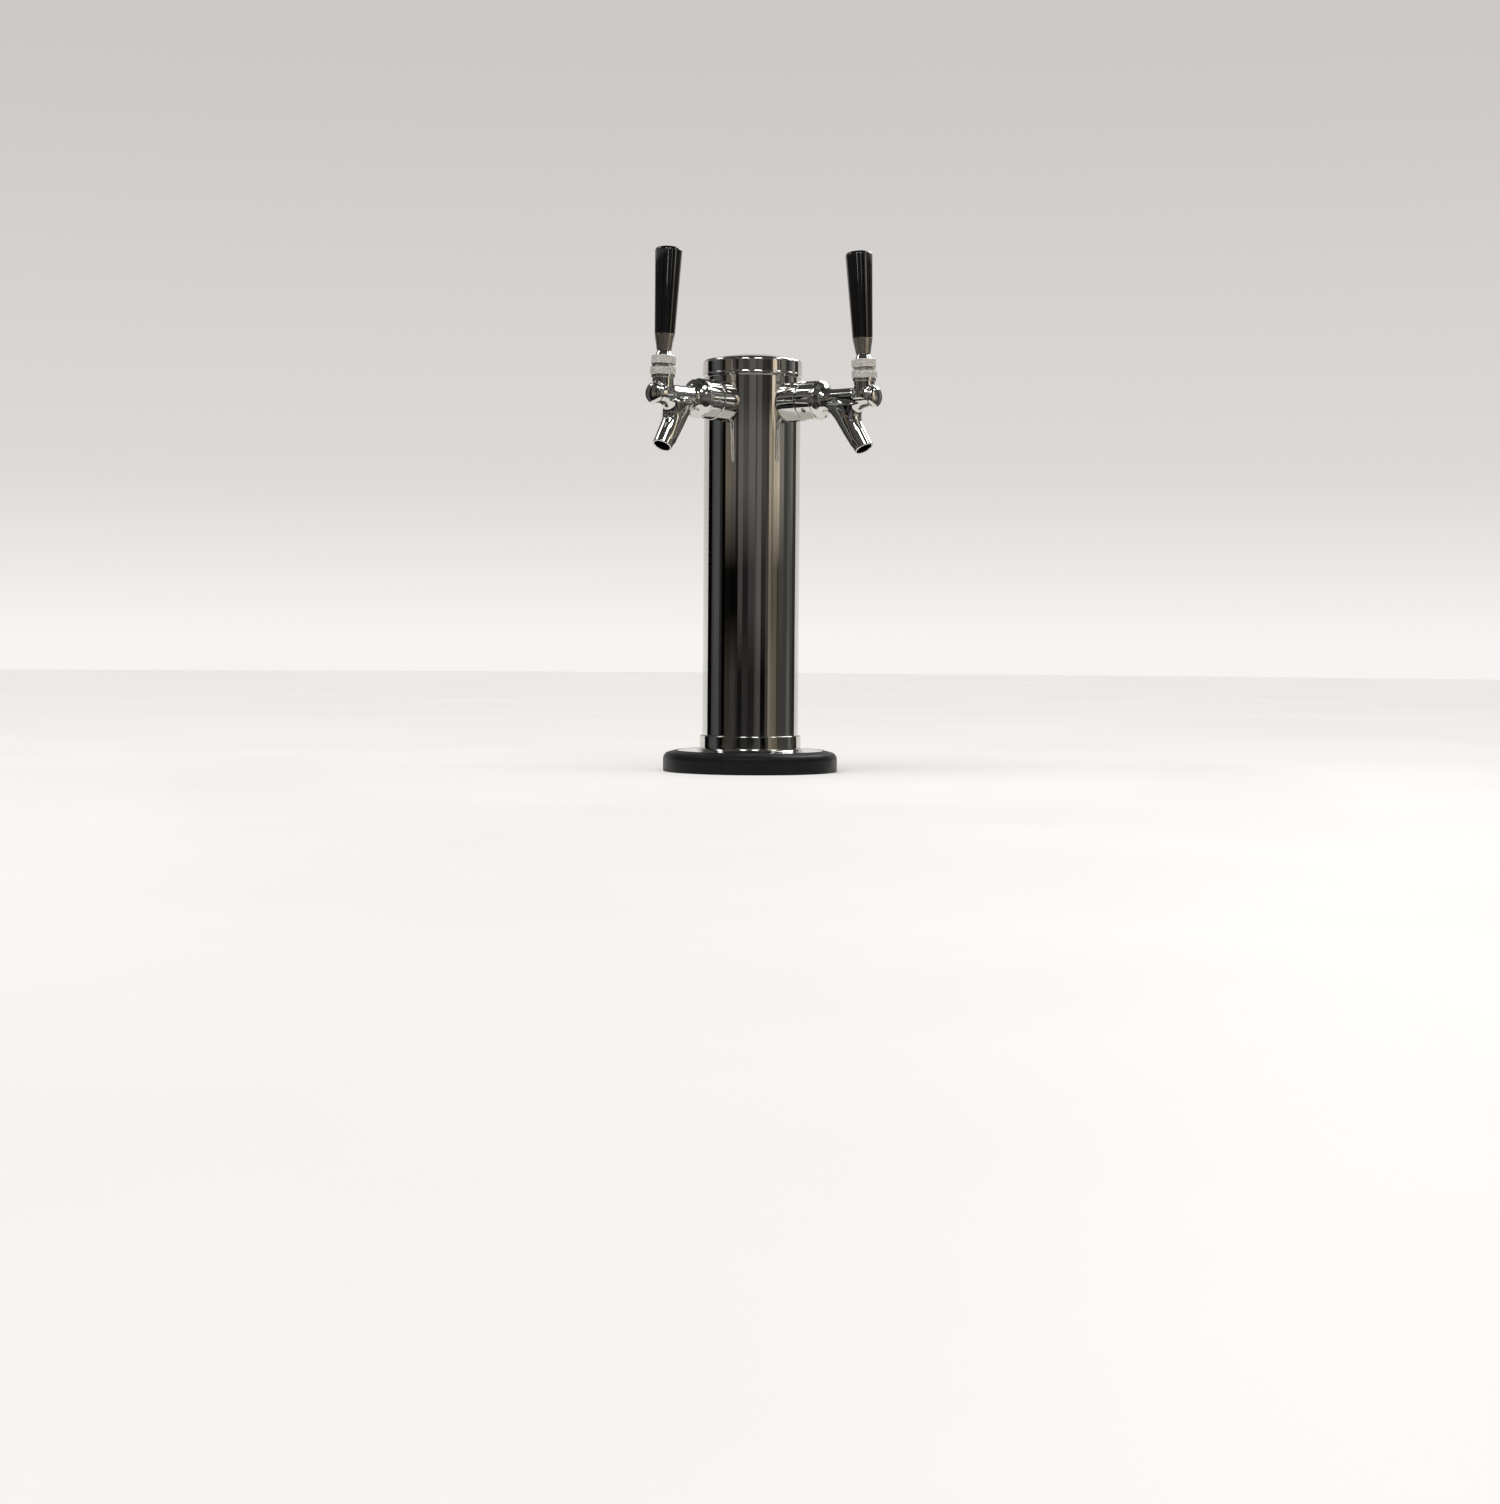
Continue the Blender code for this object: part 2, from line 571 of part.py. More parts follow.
def make_bushing(side, faucet):
    start, end = BUSHING
    profile = [(0.0056, end), (NECK_R, end), (NECK_R, start), (0.0067, start)]
    bushing = turned(f"{side}_lever_bushing", profile, MID_STEPS, faucet, PARTS,
                     location=(PIVOT_S, 0.0, 0.0))
    finish(bushing, NYLON)


def make_lever(side, pivot):
    """Ball, stem up to the handle and tail down into the shaft, turned in one piece."""
    tail_join = math.degrees(math.acos(TAIL_R / BALL_R))
    stem_join = math.degrees(math.acos(STEM_R / BALL_R))
    tip_join = math.degrees(math.asin(math.sqrt(1.0 - (TAIL_R / TAIL_BALL_R) ** 2)))
    profile = [(0.0, STEM_TOP), (STEM_R, STEM_TOP)]
    profile += arc(0.0, 0.0, BALL_R, BALL_R, stem_join, -tail_join, 6)
    profile += arc(0.0, -PIVOT_H, TAIL_BALL_R, TAIL_BALL_R, tip_join, -60.0, 4)
    profile += [(0.0, -PIVOT_H - TAIL_BALL_R)]
    finish(turned(f"{side}_lever", profile, SMALL_STEPS, pivot, PARTS), SATIN)


def make_lever_collar(side, pivot):
    rim = math.degrees(math.acos(COLLAR_RING_R / HOLLOW_R))
    crown = math.degrees(math.acos((STEM_R + GAP) / HOLLOW_R))
    hollow = arc(0.0, 0.0, HOLLOW_R, HOLLOW_R, rim, crown, 4)
    profile = [(STEM_R + GAP, LIP_TOP), (LIP_R - 0.0005, LIP_TOP), (LIP_R, LIP_TOP - 0.0005)]
    profile += [(LIP_R, COLLAR_RING_TOP + 0.0004), (COLLAR_RING_R - 0.0005, COLLAR_RING_TOP)]
    profile += [(COLLAR_RING_R, COLLAR_RING_TOP - 0.0005)] + hollow
    finish(turned(f"{side}_lever_collar", profile, MID_STEPS, pivot, PARTS), SATIN)


def make_ferrule(side, pivot):
    bottom_r, top_r = FERRULE_R
    start = LIP_TOP + GAP
    profile = [(STEM_R + GAP, FERRULE_TOP), (top_r, FERRULE_TOP), (top_r - 0.0001, FERRULE_TOP - 0.0010)]
    profile += [(bottom_r, start + 0.0004), (bottom_r - 0.0004, start), (STEM_R + GAP, start)]
    finish(turned(f"{side}_handle_ferrule", profile, MID_STEPS, pivot, PARTS), SATIN)


def make_grip(side, pivot):
    bottom_r, top_r = GRIP_R
    start = FERRULE_TOP + GAP
    edge_r = top_r - GRIP_EDGE_R
    edge_z = GRIP_TOP - 0.0006 - GRIP_EDGE_R
    profile = [(0.0, GRIP_TOP), (edge_r * 0.6, GRIP_TOP - 0.0002)]
    profile += arc(edge_r, edge_z, GRIP_EDGE_R, GRIP_EDGE_R, 82.0, 4.0, 3)
    profile += [(bottom_r, start + 0.0005), (bottom_r - 0.0004, start), (STEM_R + GAP, start)]
    profile += [(STEM_R + GAP, STEM_TOP + GAP), (0.0, STEM_TOP + GAP)]
    finish(turned(f"{side}_handle_grip", profile, MID_STEPS, pivot, PARTS), BLACK_GLOSS)


def make_shaft(side, faucet):
    head_start, head_end = SHAFT_HEAD
    profile = [(0.0, head_end), (SHAFT_HEAD_R, head_end), (SHAFT_HEAD_R, head_start)]
    profile += [(SHAFT_R, head_start - 0.0020), (SHAFT_R, SHAFT_START), (0.0, SHAFT_START)]
    shaft = turned(f"{side}_shaft", profile, SMALL_STEPS, faucet, PARTS, rotation=ALONG_X)
    tail_lean = PIVOT_H * math.sin(LEVER_LEAN)
    slot = block(f"{side}_shaft_slot", (SHAFT_SLOT, SHAFT_SLOT - 0.0002, 0.020), faucet,
                 (PIVOT_S + tail_lean, 0.0, 0.0), CUTTERS)
    combine(shaft, slot, "DIFFERENCE")
    finish(shaft, SATIN)
    start, end = SEAT_WASHER
    washer = ring(f"{side}_seat_washer", SHAFT_R + GAP, SEAT_WASHER_R, start, end, SMALL_STEPS,
                  faucet, PARTS, rotation=ALONG_X)
    finish(washer, RUBBER)
    start, end = SHAFT_NUT
    hex_bore = (SHAFT_R + GAP) / math.cos(math.pi / 6.0)
    nut = ring(f"{side}_shaft_nut", hex_bore, SHAFT_NUT_R, start, end, 6, faucet, PARTS, rotation=ALONG_X)
    finish(nut, BRASS)


def make_faucet(side, faucet, tower):
    make_saddle(side, faucet, tower)
    make_shank(side, faucet)
    make_shank_washer(side, faucet, tower)
    make_locknut(side, faucet)
    make_elbow(side, faucet)
    make_coupling_nut(side, faucet)
    make_coupling_washer(side, faucet)
    make_body(side, faucet)
    make_bonnet(side, faucet)
    make_bushing(side, faucet)
    make_shaft(side, faucet)
    pivot = empty(f"{side}_lever_axis", (PIVOT_S, 0.0, PIVOT_H), (0.0, -LEVER_LEAN, 0.0), faucet)
    make_lever(side, pivot)
    make_lever_collar(side, pivot)
    make_ferrule(side, pivot)
    make_grip(side, pivot)


def make_tower():
    tower = empty("tower_axis", (0.0, TOWER_Y, 0.0))
    faucets = {}
    for side, turn in FAUCET_TURNS.items():
        faucets[side] = empty(f"{side}_faucet_axis", (0.0, 0.0, BARREL_Z), (0.0, 0.0, turn), tower)
    make_riser(tower)
    make_flange(tower)
    make_flange_screws(tower)
    make_column(tower, faucets)
    make_cap(tower)
    for side, faucet in faucets.items():
        make_faucet(side, faucet, tower)
    settle_parts()


make_tower()
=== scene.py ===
"""Looks for the twin-tap beer tower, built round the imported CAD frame.

Everything is in metres in the frame's own axes: +Z up and -Y to the front. Turned pieces are outlines
revolved round an axis. The faucet bodies, nuts, saddles and screws are blends of simple distance
functions, meshed on a fine grid, so that their fillets run together as cast and polished metal does.
"""
import json
import math

import bmesh
import bpy
import numpy as np
from mathutils import Matrix, Vector


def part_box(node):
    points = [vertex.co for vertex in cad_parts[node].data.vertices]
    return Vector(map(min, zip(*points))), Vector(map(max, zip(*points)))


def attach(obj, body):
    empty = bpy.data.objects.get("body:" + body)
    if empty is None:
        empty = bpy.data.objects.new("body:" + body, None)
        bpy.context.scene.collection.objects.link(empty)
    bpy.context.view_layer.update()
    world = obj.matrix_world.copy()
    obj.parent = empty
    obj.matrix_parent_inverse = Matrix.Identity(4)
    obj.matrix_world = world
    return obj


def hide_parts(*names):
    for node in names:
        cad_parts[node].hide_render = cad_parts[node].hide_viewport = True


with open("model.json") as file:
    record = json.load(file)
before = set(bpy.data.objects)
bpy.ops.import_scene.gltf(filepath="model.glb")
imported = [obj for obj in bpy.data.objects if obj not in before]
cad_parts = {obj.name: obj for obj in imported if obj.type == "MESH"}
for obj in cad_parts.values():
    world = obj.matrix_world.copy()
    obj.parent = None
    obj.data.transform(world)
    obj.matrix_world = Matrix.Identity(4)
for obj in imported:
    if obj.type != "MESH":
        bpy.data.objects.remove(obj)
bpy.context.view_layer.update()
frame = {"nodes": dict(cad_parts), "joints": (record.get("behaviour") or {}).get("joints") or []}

# ------------------------------------------------------------------ places, from the frame
COLUMN_LOW, COLUMN_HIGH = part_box("column_tube")
COLUMN_R = (COLUMN_HIGH.x - COLUMN_LOW.x) / 2.0
TOWER_AXIS = Vector(((COLUMN_LOW.x + COLUMN_HIGH.x) / 2.0, (COLUMN_LOW.y + COLUMN_HIGH.y) / 2.0, 0.0))
CAP_LOW, CAP_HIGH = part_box("top_cap")
FLANGE_LOW, FLANGE_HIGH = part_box("base_flange")
RISER_LOW, RISER_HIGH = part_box("riser_ring")
JOINTS = {joint["name"]: joint for joint in frame["joints"]}
SIDES = ("left", "right")

# ------------------------------------------------------------------ sizes, as in the CAD
GAP = 0.0003                     # between pieces that touch
COLUMN_WALL = 0.0015
PASSAGE_R = 0.0330
RISER_SHOULDER_R = 0.0642
RISER_SIDE_TOP = 0.0095
RISER_SHOULDER_RISE = 0.0057
RISER_LIP = (0.0594, 0.0166)
RISER_SEAT = 0.0142
RECESS_CLEARANCE = 0.0004        # between the flange's edge and the riser
FLANGE_TOP = 0.0165
COLLAR_R = 0.0402
COLLAR_FILLET = 0.0034
SCREW_COUNT = 4
SCREW_CIRCLE_R = 0.0500
SCREW_R = 0.0024
SCREW_HEAD_R = 0.0042
SCREW_END = 0.0008
SCREW_SOCKET_R = 0.0016
SCREW_SOCKET_DEPTH = 0.0012
SCREW_CLEARANCE = 0.0004         # round the screws in the flange and the riser
CAP_WALL = 0.0010
CAP_SHOULDER = 0.3247
CAP_EDGE_R = 0.0028
CAP_BEAD_R = 0.0030              # swelling just above the lower edge of the cap
CAP_BEAD_RISE = 0.0004
CAP_BEAD_Z = 0.0021

PIVOT_S = 0.1092                 # distance from the column's axis along the barrel
PIVOT_H = 0.0141                 # height above the barrel's axis
BARREL_R = 0.0080
NOSE_S = 0.1192
NOSE_HALF = 0.0042
NOSE_R = 0.0083
BODY_REAR = 0.0613
SHOULDER_S = 0.0677
BELL_R = 0.0155
BELL_POINTS = ((SHOULDER_S, BELL_R), (0.0684, BELL_R), (0.0697, 0.0150), (0.0711, 0.0135), (0.0728, 0.0113),
               (0.0746, 0.0096), (0.0766, 0.0086), (0.0790, 0.0081), (0.0815, BARREL_R), (0.1125, BARREL_R),
               (0.1150, 0.0077), (0.1165, 0.0073), (0.1200, 0.0072))
THREAD_R = 0.0126
CHAMBER_R = 0.0085
SEAT_S = 0.0750
BORE_R = 0.0054
BORE_END = 0.1165
NECK_R = 0.0082
NECK_TOP = 0.0160
BALL_BORE_R = 0.0069
BALL_SEAT = 0.0072
TAIL_BORE_R = 0.0050
SPOUT_R = 0.0077
SPOUT_BORE_R = 0.0062
SPOUT_LEAN = math.radians(31.0)
OUTLET = np.array((0.1098, 0.0, -0.0391))
SPOUT_LENGTH = 0.0440
SPOUT_DIP = 0.0055               # room below the outlet's middle for the low side of its rim
SPOUT_BORE_LENGTH = 0.0420
WEB_HALF = 0.0061
WEB_EDGE = 0.0040
WEB_FILLET = 0.0050
WEB_POINTS = ((0.0720, -0.0030), (0.0735, -0.0078), (0.0780, -0.0098), (0.0820, -0.0129), (0.0861, -0.0171),
              (0.0903, -0.0226), (0.0949, -0.0283), (0.1016, -0.0352), (0.1045, -0.0330), (0.0975, -0.0030))
FRONT_FILLET = 0.0130            # width of the blend in front of the spout, and of the one behind it
REAR_FILLET = 0.0040
FILLET_FADE = 0.0060             # the blend fades away over this height below the barrel's axis
BODY_EDGE = 0.0006
SCOOP_CENTRE = np.array((0.1170, 0.0, -0.0148))
SCOOP_R = 0.0074
VENT_R = 0.0016
VENT_LENGTH = 0.0120
VENT_TURN = math.radians(-100.0)

SADDLE_R = 0.0156
SADDLE_END = 0.0529
NUT_START = SADDLE_END + GAP
NUT_END = SHOULDER_S - GAP
NUT_R = 0.0154
NUT_LIP_END = 0.0560
SHANK_HOLE_R = 0.0114
SPANNER_HOLES = 3
SPANNER_HOLE_R = 0.0018
SPANNER_HOLE_DEPTH = 0.0018
SPANNER_TURNS = {"right": math.radians(3.0), "left": math.radians(18.0)}

BONNET_R = 0.00975
BONNET_BOTTOM = 0.0120 - PIVOT_H  # heights from here on are above the pivot
BONNET_UNDER = 0.0187 - PIVOT_H
BONNET_TOP = 0.0093
BONNET_BAND = (BONNET_BOTTOM + 0.0028, 0.0060)
BONNET_HOLE_R = 0.0058
BONNET_THREAD_R = NECK_R + GAP
HOLLOW_R = 0.0126
BALL_R = 0.0066
STEM_R = 0.0030
TAIL_R = 0.0015
TAIL_BALL_R = 0.0029
STEM_TOP = 0.0500
LEVER_LEAN = math.radians(3.7)
COLLAR_RING_R = 0.0093
COLLAR_RING_TOP = 0.0146
LIP_R = 0.0060
LIP_TOP = 0.0182
LIP_FLARE = 0.0014
FERRULE_TOP = 0.0309
FERRULE_R = (0.0055, 0.0077)
GRIP_TOP = 0.0976
GRIP_R = (0.0078, 0.0104)
GRIP_EDGE_R = 0.0030
KNURL_TEETH = 56
KNURL_STEPS = 8 * KNURL_TEETH
BONNET_KNURL_DEPTH = 0.00030
COLLAR_KNURL_DEPTH = 0.00026

SHARP_ANGLE = math.radians(38.0) # edges steeper than this stay sharp
MESH_MARGIN = 0.0012             # room round a shape when its distance function is meshed
CASTING_CELL = 0.00055
SCREW_CELL = 0.00020

# ------------------------------------------------------------------ camera, room and light
CAMERA_LENS = 61.62
CAMERA_AZIMUTH = math.radians(-6.48)
CAMERA_DISTANCE = 2.047
CAMERA_HEIGHT = 0.1048
CAMERA_PITCH = math.radians(2.51)
CAMERA_ROLL = math.radians(0.393)
CAMERA_SENSOR = 36.0
ROOM_R = 0.45
METAL_SHARE = 0.60               # how much of the room the metal gives back
TINTS = {"warm": (1.0, 0.93, 0.84), "plain": (1.0, 0.97, 0.95), "tan": (1.0, 0.86, 0.66),
         "blue": (0.93, 0.96, 1.0), "rose": (1.0, 0.90, 0.90)}
# Heights on the room's wall, and which of a panel's four tones is shown there, 0 for the highest
ROOM_ROWS = ((-0.02, 3), (0.07, 3), (0.13, 2), (0.17, 2), (0.25, 1), (0.30, 1), (0.33, 0), (0.46, 0))
# Panels round the room: from, to (degrees from the camera, + to its right), tint, and the tones from
# high to low, each as the metal shows it on a scale to 255. Most angles and tones here were rounded
# from a program's readings of the reference picture, so this table is data and not a design
ROOM_PANELS = (
    (-122, -105, "plain", 20, 10, 10, 14), (-105, -97, "blue", 60, 62, 60, 60),
    (-97, -79, "blue", 78, 76, 74, 70), (-79, -72, "plain", 60, 45, 40, 38),
    (-72, -63, "warm", 30, 10, 8, 10), (-63, -49, "tan", 84, 96, 20, 48),
    (-49, -37, "warm", 60, 88, 14, 54), (-37, -31, "warm", 30, 48, 17, 43),
    (-31, -20, "plain", 74, 92, 64, 25), (-20, -7, "rose", 60, 76, 34, 46),
    (-7, 8, "plain", 84, 92, 56, 34), (8, 12, "rose", 60, 70, 72, 60),
    (12, 22, "plain", 78, 94, 86, 68), (22, 33, "rose", 50, 68, 42, 15),
    (33, 40, "warm", 44, 60, 62, 58), (40, 46, "tan", 60, 150, 104, 116),
    (46, 51, "tan", 205, 120, 76, 100), (51, 61, "tan", 215, 165, 84, 92),
    (61, 67, "tan", 44, 176, 58, 60), (67, 80, "warm", 96, 112, 66, 60),
    (80, 92, "plain", 50, 64, 58, 60), (92, 102, "blue", 84, 80, 80, 90),
    (102, 112, "warm", 120, 100, 70, 62), (112, 127, "warm", 50, 56, 50, 44),
)
# Lamps seen only in reflections: direction, half width, lowest and highest elevation in degrees, strength
LAMP_R = 1.2
LAMP_EYE = 0.29                  # height that the elevations are measured from
LAMPS = (
    (-101, 8, 36, 48, 6.0), (-20, 8, 38, 52, 8.0), (15, 9, 38, 52, 8.0), (74, 6, 38, 50, 8.0),
    (112, 6, 30, 40, 8.0), (142, 15, 24, 56, 6.0), (-150, 6, 40, 50, 3.0), (55, 2, 30, 33, 10.0),
)
# Thin bright strips high on the room's wall, for the glints on the handles: direction, half width, strength
STRIPS = ((-8, 0.9, 8.0), (21, 0.7, 4.0), (54, 1.2, 5.0))
STRIP_R = 0.44
STRIP_HEIGHTS = (0.424, 0.460)
FLOOR_R = 6.0
SUN_POWER = 3.0
SUN_SPREAD = math.radians(80.0)
SUN_TURN = (math.radians(18.0), math.radians(-10.0), 0.0)
# Soft lights that aren't mirrored: place, size, power
SOFTBOXES = (((-1.1, -0.7, 1.9), (0.9, 0.5), 5.0), ((1.2, -0.4, 1.7), (0.5, 0.5), 3.0))
SOFTBOX_AIM = (0.0, 0.0, 0.15)
# Backdrop from straight down (0) to straight up (1)
BACKDROP = (
    (0.0, (0.93, 0.91, 0.90)), (0.500, (0.93, 0.91, 0.90)), (0.512, (0.85, 0.82, 0.805)),
    (0.53, (0.73, 0.70, 0.68)), (0.60, (0.62, 0.59, 0.57)), (0.655, (0.58, 0.55, 0.53)),
    (0.70, (0.12, 0.115, 0.11)), (1.0, (0.05, 0.05, 0.05)),
)


# ------------------------------------------------------------------ materials
def new_material(name, metallic, roughness):
    """A Principled material whose plain values sit on its own sockets."""
    made = bpy.data.materials.new(name)
    made.use_nodes = True
    shader = made.node_tree.nodes["Principled BSDF"]
    shader.inputs["Metallic"].default_value = metallic
    shader.inputs["Roughness"].default_value = roughness
    return made, made.node_tree, shader


def noise(tree, scale, detail=3.0, stretch=(1.0, 1.0, 1.0)):
    """Cloudy noise in the piece's own metres, finer along an axis that is stretched more."""
    coordinates = tree.nodes.new("ShaderNodeTexCoord")
    mapping = tree.nodes.new("ShaderNodeMapping")
    mapping.inputs["Scale"].default_value = stretch
    texture = tree.nodes.new("ShaderNodeTexNoise")
    texture.inputs["Scale"].default_value = scale
    texture.inputs["Detail"].default_value = detail
    tree.links.new(coordinates.outputs["Object"], mapping.inputs["Vector"])
    tree.links.new(mapping.outputs["Vector"], texture.inputs["Vector"])
    return texture.outputs["Fac"]


def colour_ramp(tree, value, low, high, start=0.35, end=0.65):
    """Turn a value into a colour between two."""
    ramp = tree.nodes.new("ShaderNodeValToRGB")
    ramp.color_ramp.elements[0].position = start
    ramp.color_ramp.elements[0].color = (*low, 1.0)
    ramp.color_ramp.elements[1].position = end
    ramp.color_ramp.elements[1].color = (*high, 1.0)
    tree.links.new(value, ramp.inputs["Fac"])
    return ramp.outputs["Color"]


def spread(tree, value, low, high, start=0.3, end=0.7):
    """Map the range from start to end onto the range from low to high."""
    node = tree.nodes.new("ShaderNodeMapRange")
    node.inputs["From Min"].default_value = start
    node.inputs["From Max"].default_value = end
    node.inputs["To Min"].default_value = low
    node.inputs["To Max"].default_value = high
    tree.links.new(value, node.inputs["Value"])
    return node.outputs["Result"]


def add_bump(tree, shader, heights, distance, strength=1.0):
    """Chain one bump after another, each from a height texture."""
    normal = None
    for height in heights:
        node = tree.nodes.new("ShaderNodeBump")
        node.inputs["Distance"].default_value = distance
        node.inputs["Strength"].default_value = strength
        tree.links.new(height, node.inputs["Height"])
        if normal is not None:
            tree.links.new(normal, node.inputs["Normal"])
        normal = node.outputs["Normal"]
    tree.links.new(normal, shader.inputs["Normal"])


def metal(name, light, dark, roughness, smudges=60.0, bump=0.0, grain=900.0, metallic=1.0):
    """A metal with smudges in its shine, a slight change of tone and a fine grain."""
    made, tree, shader = new_material(name, metallic, roughness[0])
    cloud = noise(tree, smudges, 4.0)
    tree.links.new(colour_ramp(tree, cloud, dark, light), shader.inputs["Base Color"])
    polish = noise(tree, smudges * 2.3, 5.0)
    tree.links.new(spread(tree, polish, roughness[0], roughness[1]), shader.inputs["Roughness"])
    if bump:
        add_bump(tree, shader, [noise(tree, grain, 2.0)], bump)
    return made


def plain(name, light, dark, roughness, scale, bump, grain, coat=0.0, specular=0.5):
    """A plastic or rubber with a mottled tone, uneven shine and a fine surface grain."""
    made, tree, shader = new_material(name, 0.0, roughness[0])
    shader.inputs["Specular IOR Level"].default_value = specular
    shader.inputs["Coat Weight"].default_value = coat
    shader.inputs["Coat Roughness"].default_value = 0.06
    tree.links.new(colour_ramp(tree, noise(tree, scale, 4.0), dark, light), shader.inputs["Base Color"])
    tree.links.new(spread(tree, noise(tree, scale * 3.0, 4.0), *roughness), shader.inputs["Roughness"])
    add_bump(tree, shader, [noise(tree, grain, 3.0)], bump)
    return made


def column_steel():
    """Polished tube: a mirror with faint streaks along its length from drawing and wiping."""
    made, tree, shader = new_material("polished_tube", 1.0, 0.05)
    streak = noise(tree, 1.0, 4.0, (260.0, 260.0, 5.0))
    cloud = noise(tree, 22.0, 4.0, (1.0, 1.0, 0.35))
    tone = colour_ramp(tree, streak, (0.57, 0.56, 0.54), (0.64, 0.63, 0.61))
    tree.links.new(tone, shader.inputs["Base Color"])
    tree.links.new(spread(tree, cloud, 0.035, 0.075), shader.inputs["Roughness"])
    wave = noise(tree, 1.0, 1.0, (34.0, 34.0, 3.0))
    add_bump(tree, shader, [wave, streak], 0.00002, 0.5)
    return made


def turned_satin():
    """Satin ferrule: fine rings from turning, a warm grey-brown plate."""
    made, tree, shader = new_material("satin_ferrule", 1.0, 0.30)
    rings = noise(tree, 1.0, 2.0, (60.0, 60.0, 2600.0))
    along = noise(tree, 1.0, 3.0, (420.0, 420.0, 30.0))
    tone = colour_ramp(tree, along, (0.34, 0.31, 0.28), (0.46, 0.43, 0.39))
    tree.links.new(tone, shader.inputs["Base Color"])
    tree.links.new(spread(tree, rings, 0.26, 0.42), shader.inputs["Roughness"])
    add_bump(tree, shader, [rings, along], 0.00002, 0.6)
    return made


CHROME = metal("chrome", (0.63, 0.63, 0.60), (0.58, 0.58, 0.55), (0.025, 0.055), 45.0)
CAP_CHROME = metal("cap_chrome", (0.62, 0.61, 0.59), (0.57, 0.56, 0.54), (0.05, 0.10), 60.0)
KNURLED = metal("knurled_satin", (0.80, 0.78, 0.74), (0.64, 0.62, 0.59), (0.22, 0.32), 400.0,
                0.00003, 2600.0, metallic=0.55)
COLUMN_STEEL = column_steel()
FERRULE_SATIN = turned_satin()
SCREW_STEEL = metal("screw_steel", (0.56, 0.55, 0.53), (0.47, 0.46, 0.44), (0.20, 0.34), 500.0,
                    0.00002, 2400.0)
INNER_STEEL = metal("inner_steel", (0.55, 0.54, 0.52), (0.44, 0.43, 0.41), (0.22, 0.38), 220.0,
                    0.00003, 1500.0)
BRASS = metal("brass", (0.76, 0.57, 0.28), (0.60, 0.42, 0.18), (0.22, 0.40), 160.0, 0.00003, 1400.0)
BLACK_HANDLE = plain("black_handle", (0.0040, 0.0036, 0.0036), (0.0020, 0.0020, 0.0020), (0.06, 0.11), 60.0,
                     0.000001, 900.0, coat=0.25)
RISER_BLACK = plain("riser_black", (0.0060, 0.0060, 0.0070), (0.0035, 0.0035, 0.0040), (0.34, 0.48), 90.0,
                    0.00004, 1800.0, specular=0.20)
NYLON = plain("nylon", (0.78, 0.76, 0.70), (0.66, 0.64, 0.58), (0.35, 0.50), 140.0, 0.00002, 1500.0)
RUBBER = plain("seat_rubber", (0.035, 0.034, 0.033), (0.020, 0.020, 0.020), (0.60, 0.85), 200.0,
               0.00005, 1600.0)


# ------------------------------------------------------------------ placing pieces
def add_piece(name, mesh, material, place, body, slot, *nodes):
    """Put a finished mesh in the scene, riding on a CAD body in the place of CAD nodes."""
    piece = bpy.data.objects.new(name, mesh)
    bpy.context.scene.collection.objects.link(piece)
    mesh.materials.clear()
    mesh.materials.append(material)
    piece.matrix_world = place
    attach(piece, body)
    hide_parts(*nodes)
    return piece


def faucet_place(side):
    """X out along the barrel from the column's axis, Z up from the barrel's axis."""
    joint = JOINTS[f"{side}_tap"]
    across = Vector(joint["axis"]).normalized()
    up = Vector((0.0, 0.0, 1.0))
    out = across.cross(up)
    pivot = Vector(joint["pos_m"])
    start = pivot - PIVOT_S * out - PIVOT_H * up
    place = Matrix((out, across, up)).transposed().to_4x4()
    return Matrix.Translation(start) @ place


def pivot_place(side, lean=0.0):
    lift = Matrix.Translation((PIVOT_S, 0.0, PIVOT_H))
    return faucet_place(side) @ lift @ Matrix.Rotation(-lean, 4, "Y")


TOWER_PLACE = Matrix.Translation(TOWER_AXIS)


def screw_angle(index):
    return math.radians(45.0) + 2.0 * math.pi * index / SCREW_COUNT


# ------------------------------------------------------------------ turned pieces
def rounded(points, closed, steps=5):
    """Corner points of an outline as (radius, height), where a third value rounds the corner."""
    result = []
    count = len(points)
    for index, point in enumerate(points):
        here = Vector(point[:2])
        at_end = not closed and index in (0, count - 1)
        if len(point) == 2 or at_end:
            result.append(here)
            continue
        to_last = (Vector(points[index - 1][:2]) - here).normalized()
        to_next = (Vector(points[(index + 1) % count][:2]) - here).normalized()
        half = to_last.angle(to_next) / 2.0
        centre = here + (to_last + to_next).normalized() * point[2] / math.sin(half)
        first = here + to_last * point[2] / math.tan(half) - centre
        last = here + to_next * point[2] / math.tan(half) - centre
        for step in range(steps + 1):
            share = step / steps
            blend = first.lerp(last, share).normalized() * point[2]
            result.append(centre + blend)
    return result


def arc(centre_r, centre_z, radius_r, radius_z, start, end, count):
    """Points on an ellipse, from one angle to another in degrees, 0 outward and 90 upward."""
    points = []
    for step in range(count + 1):
        angle = math.radians(start + (end - start) * step / count)
        points.append((centre_r + radius_r * math.cos(angle), centre_z + radius_z * math.sin(angle)))
    return points


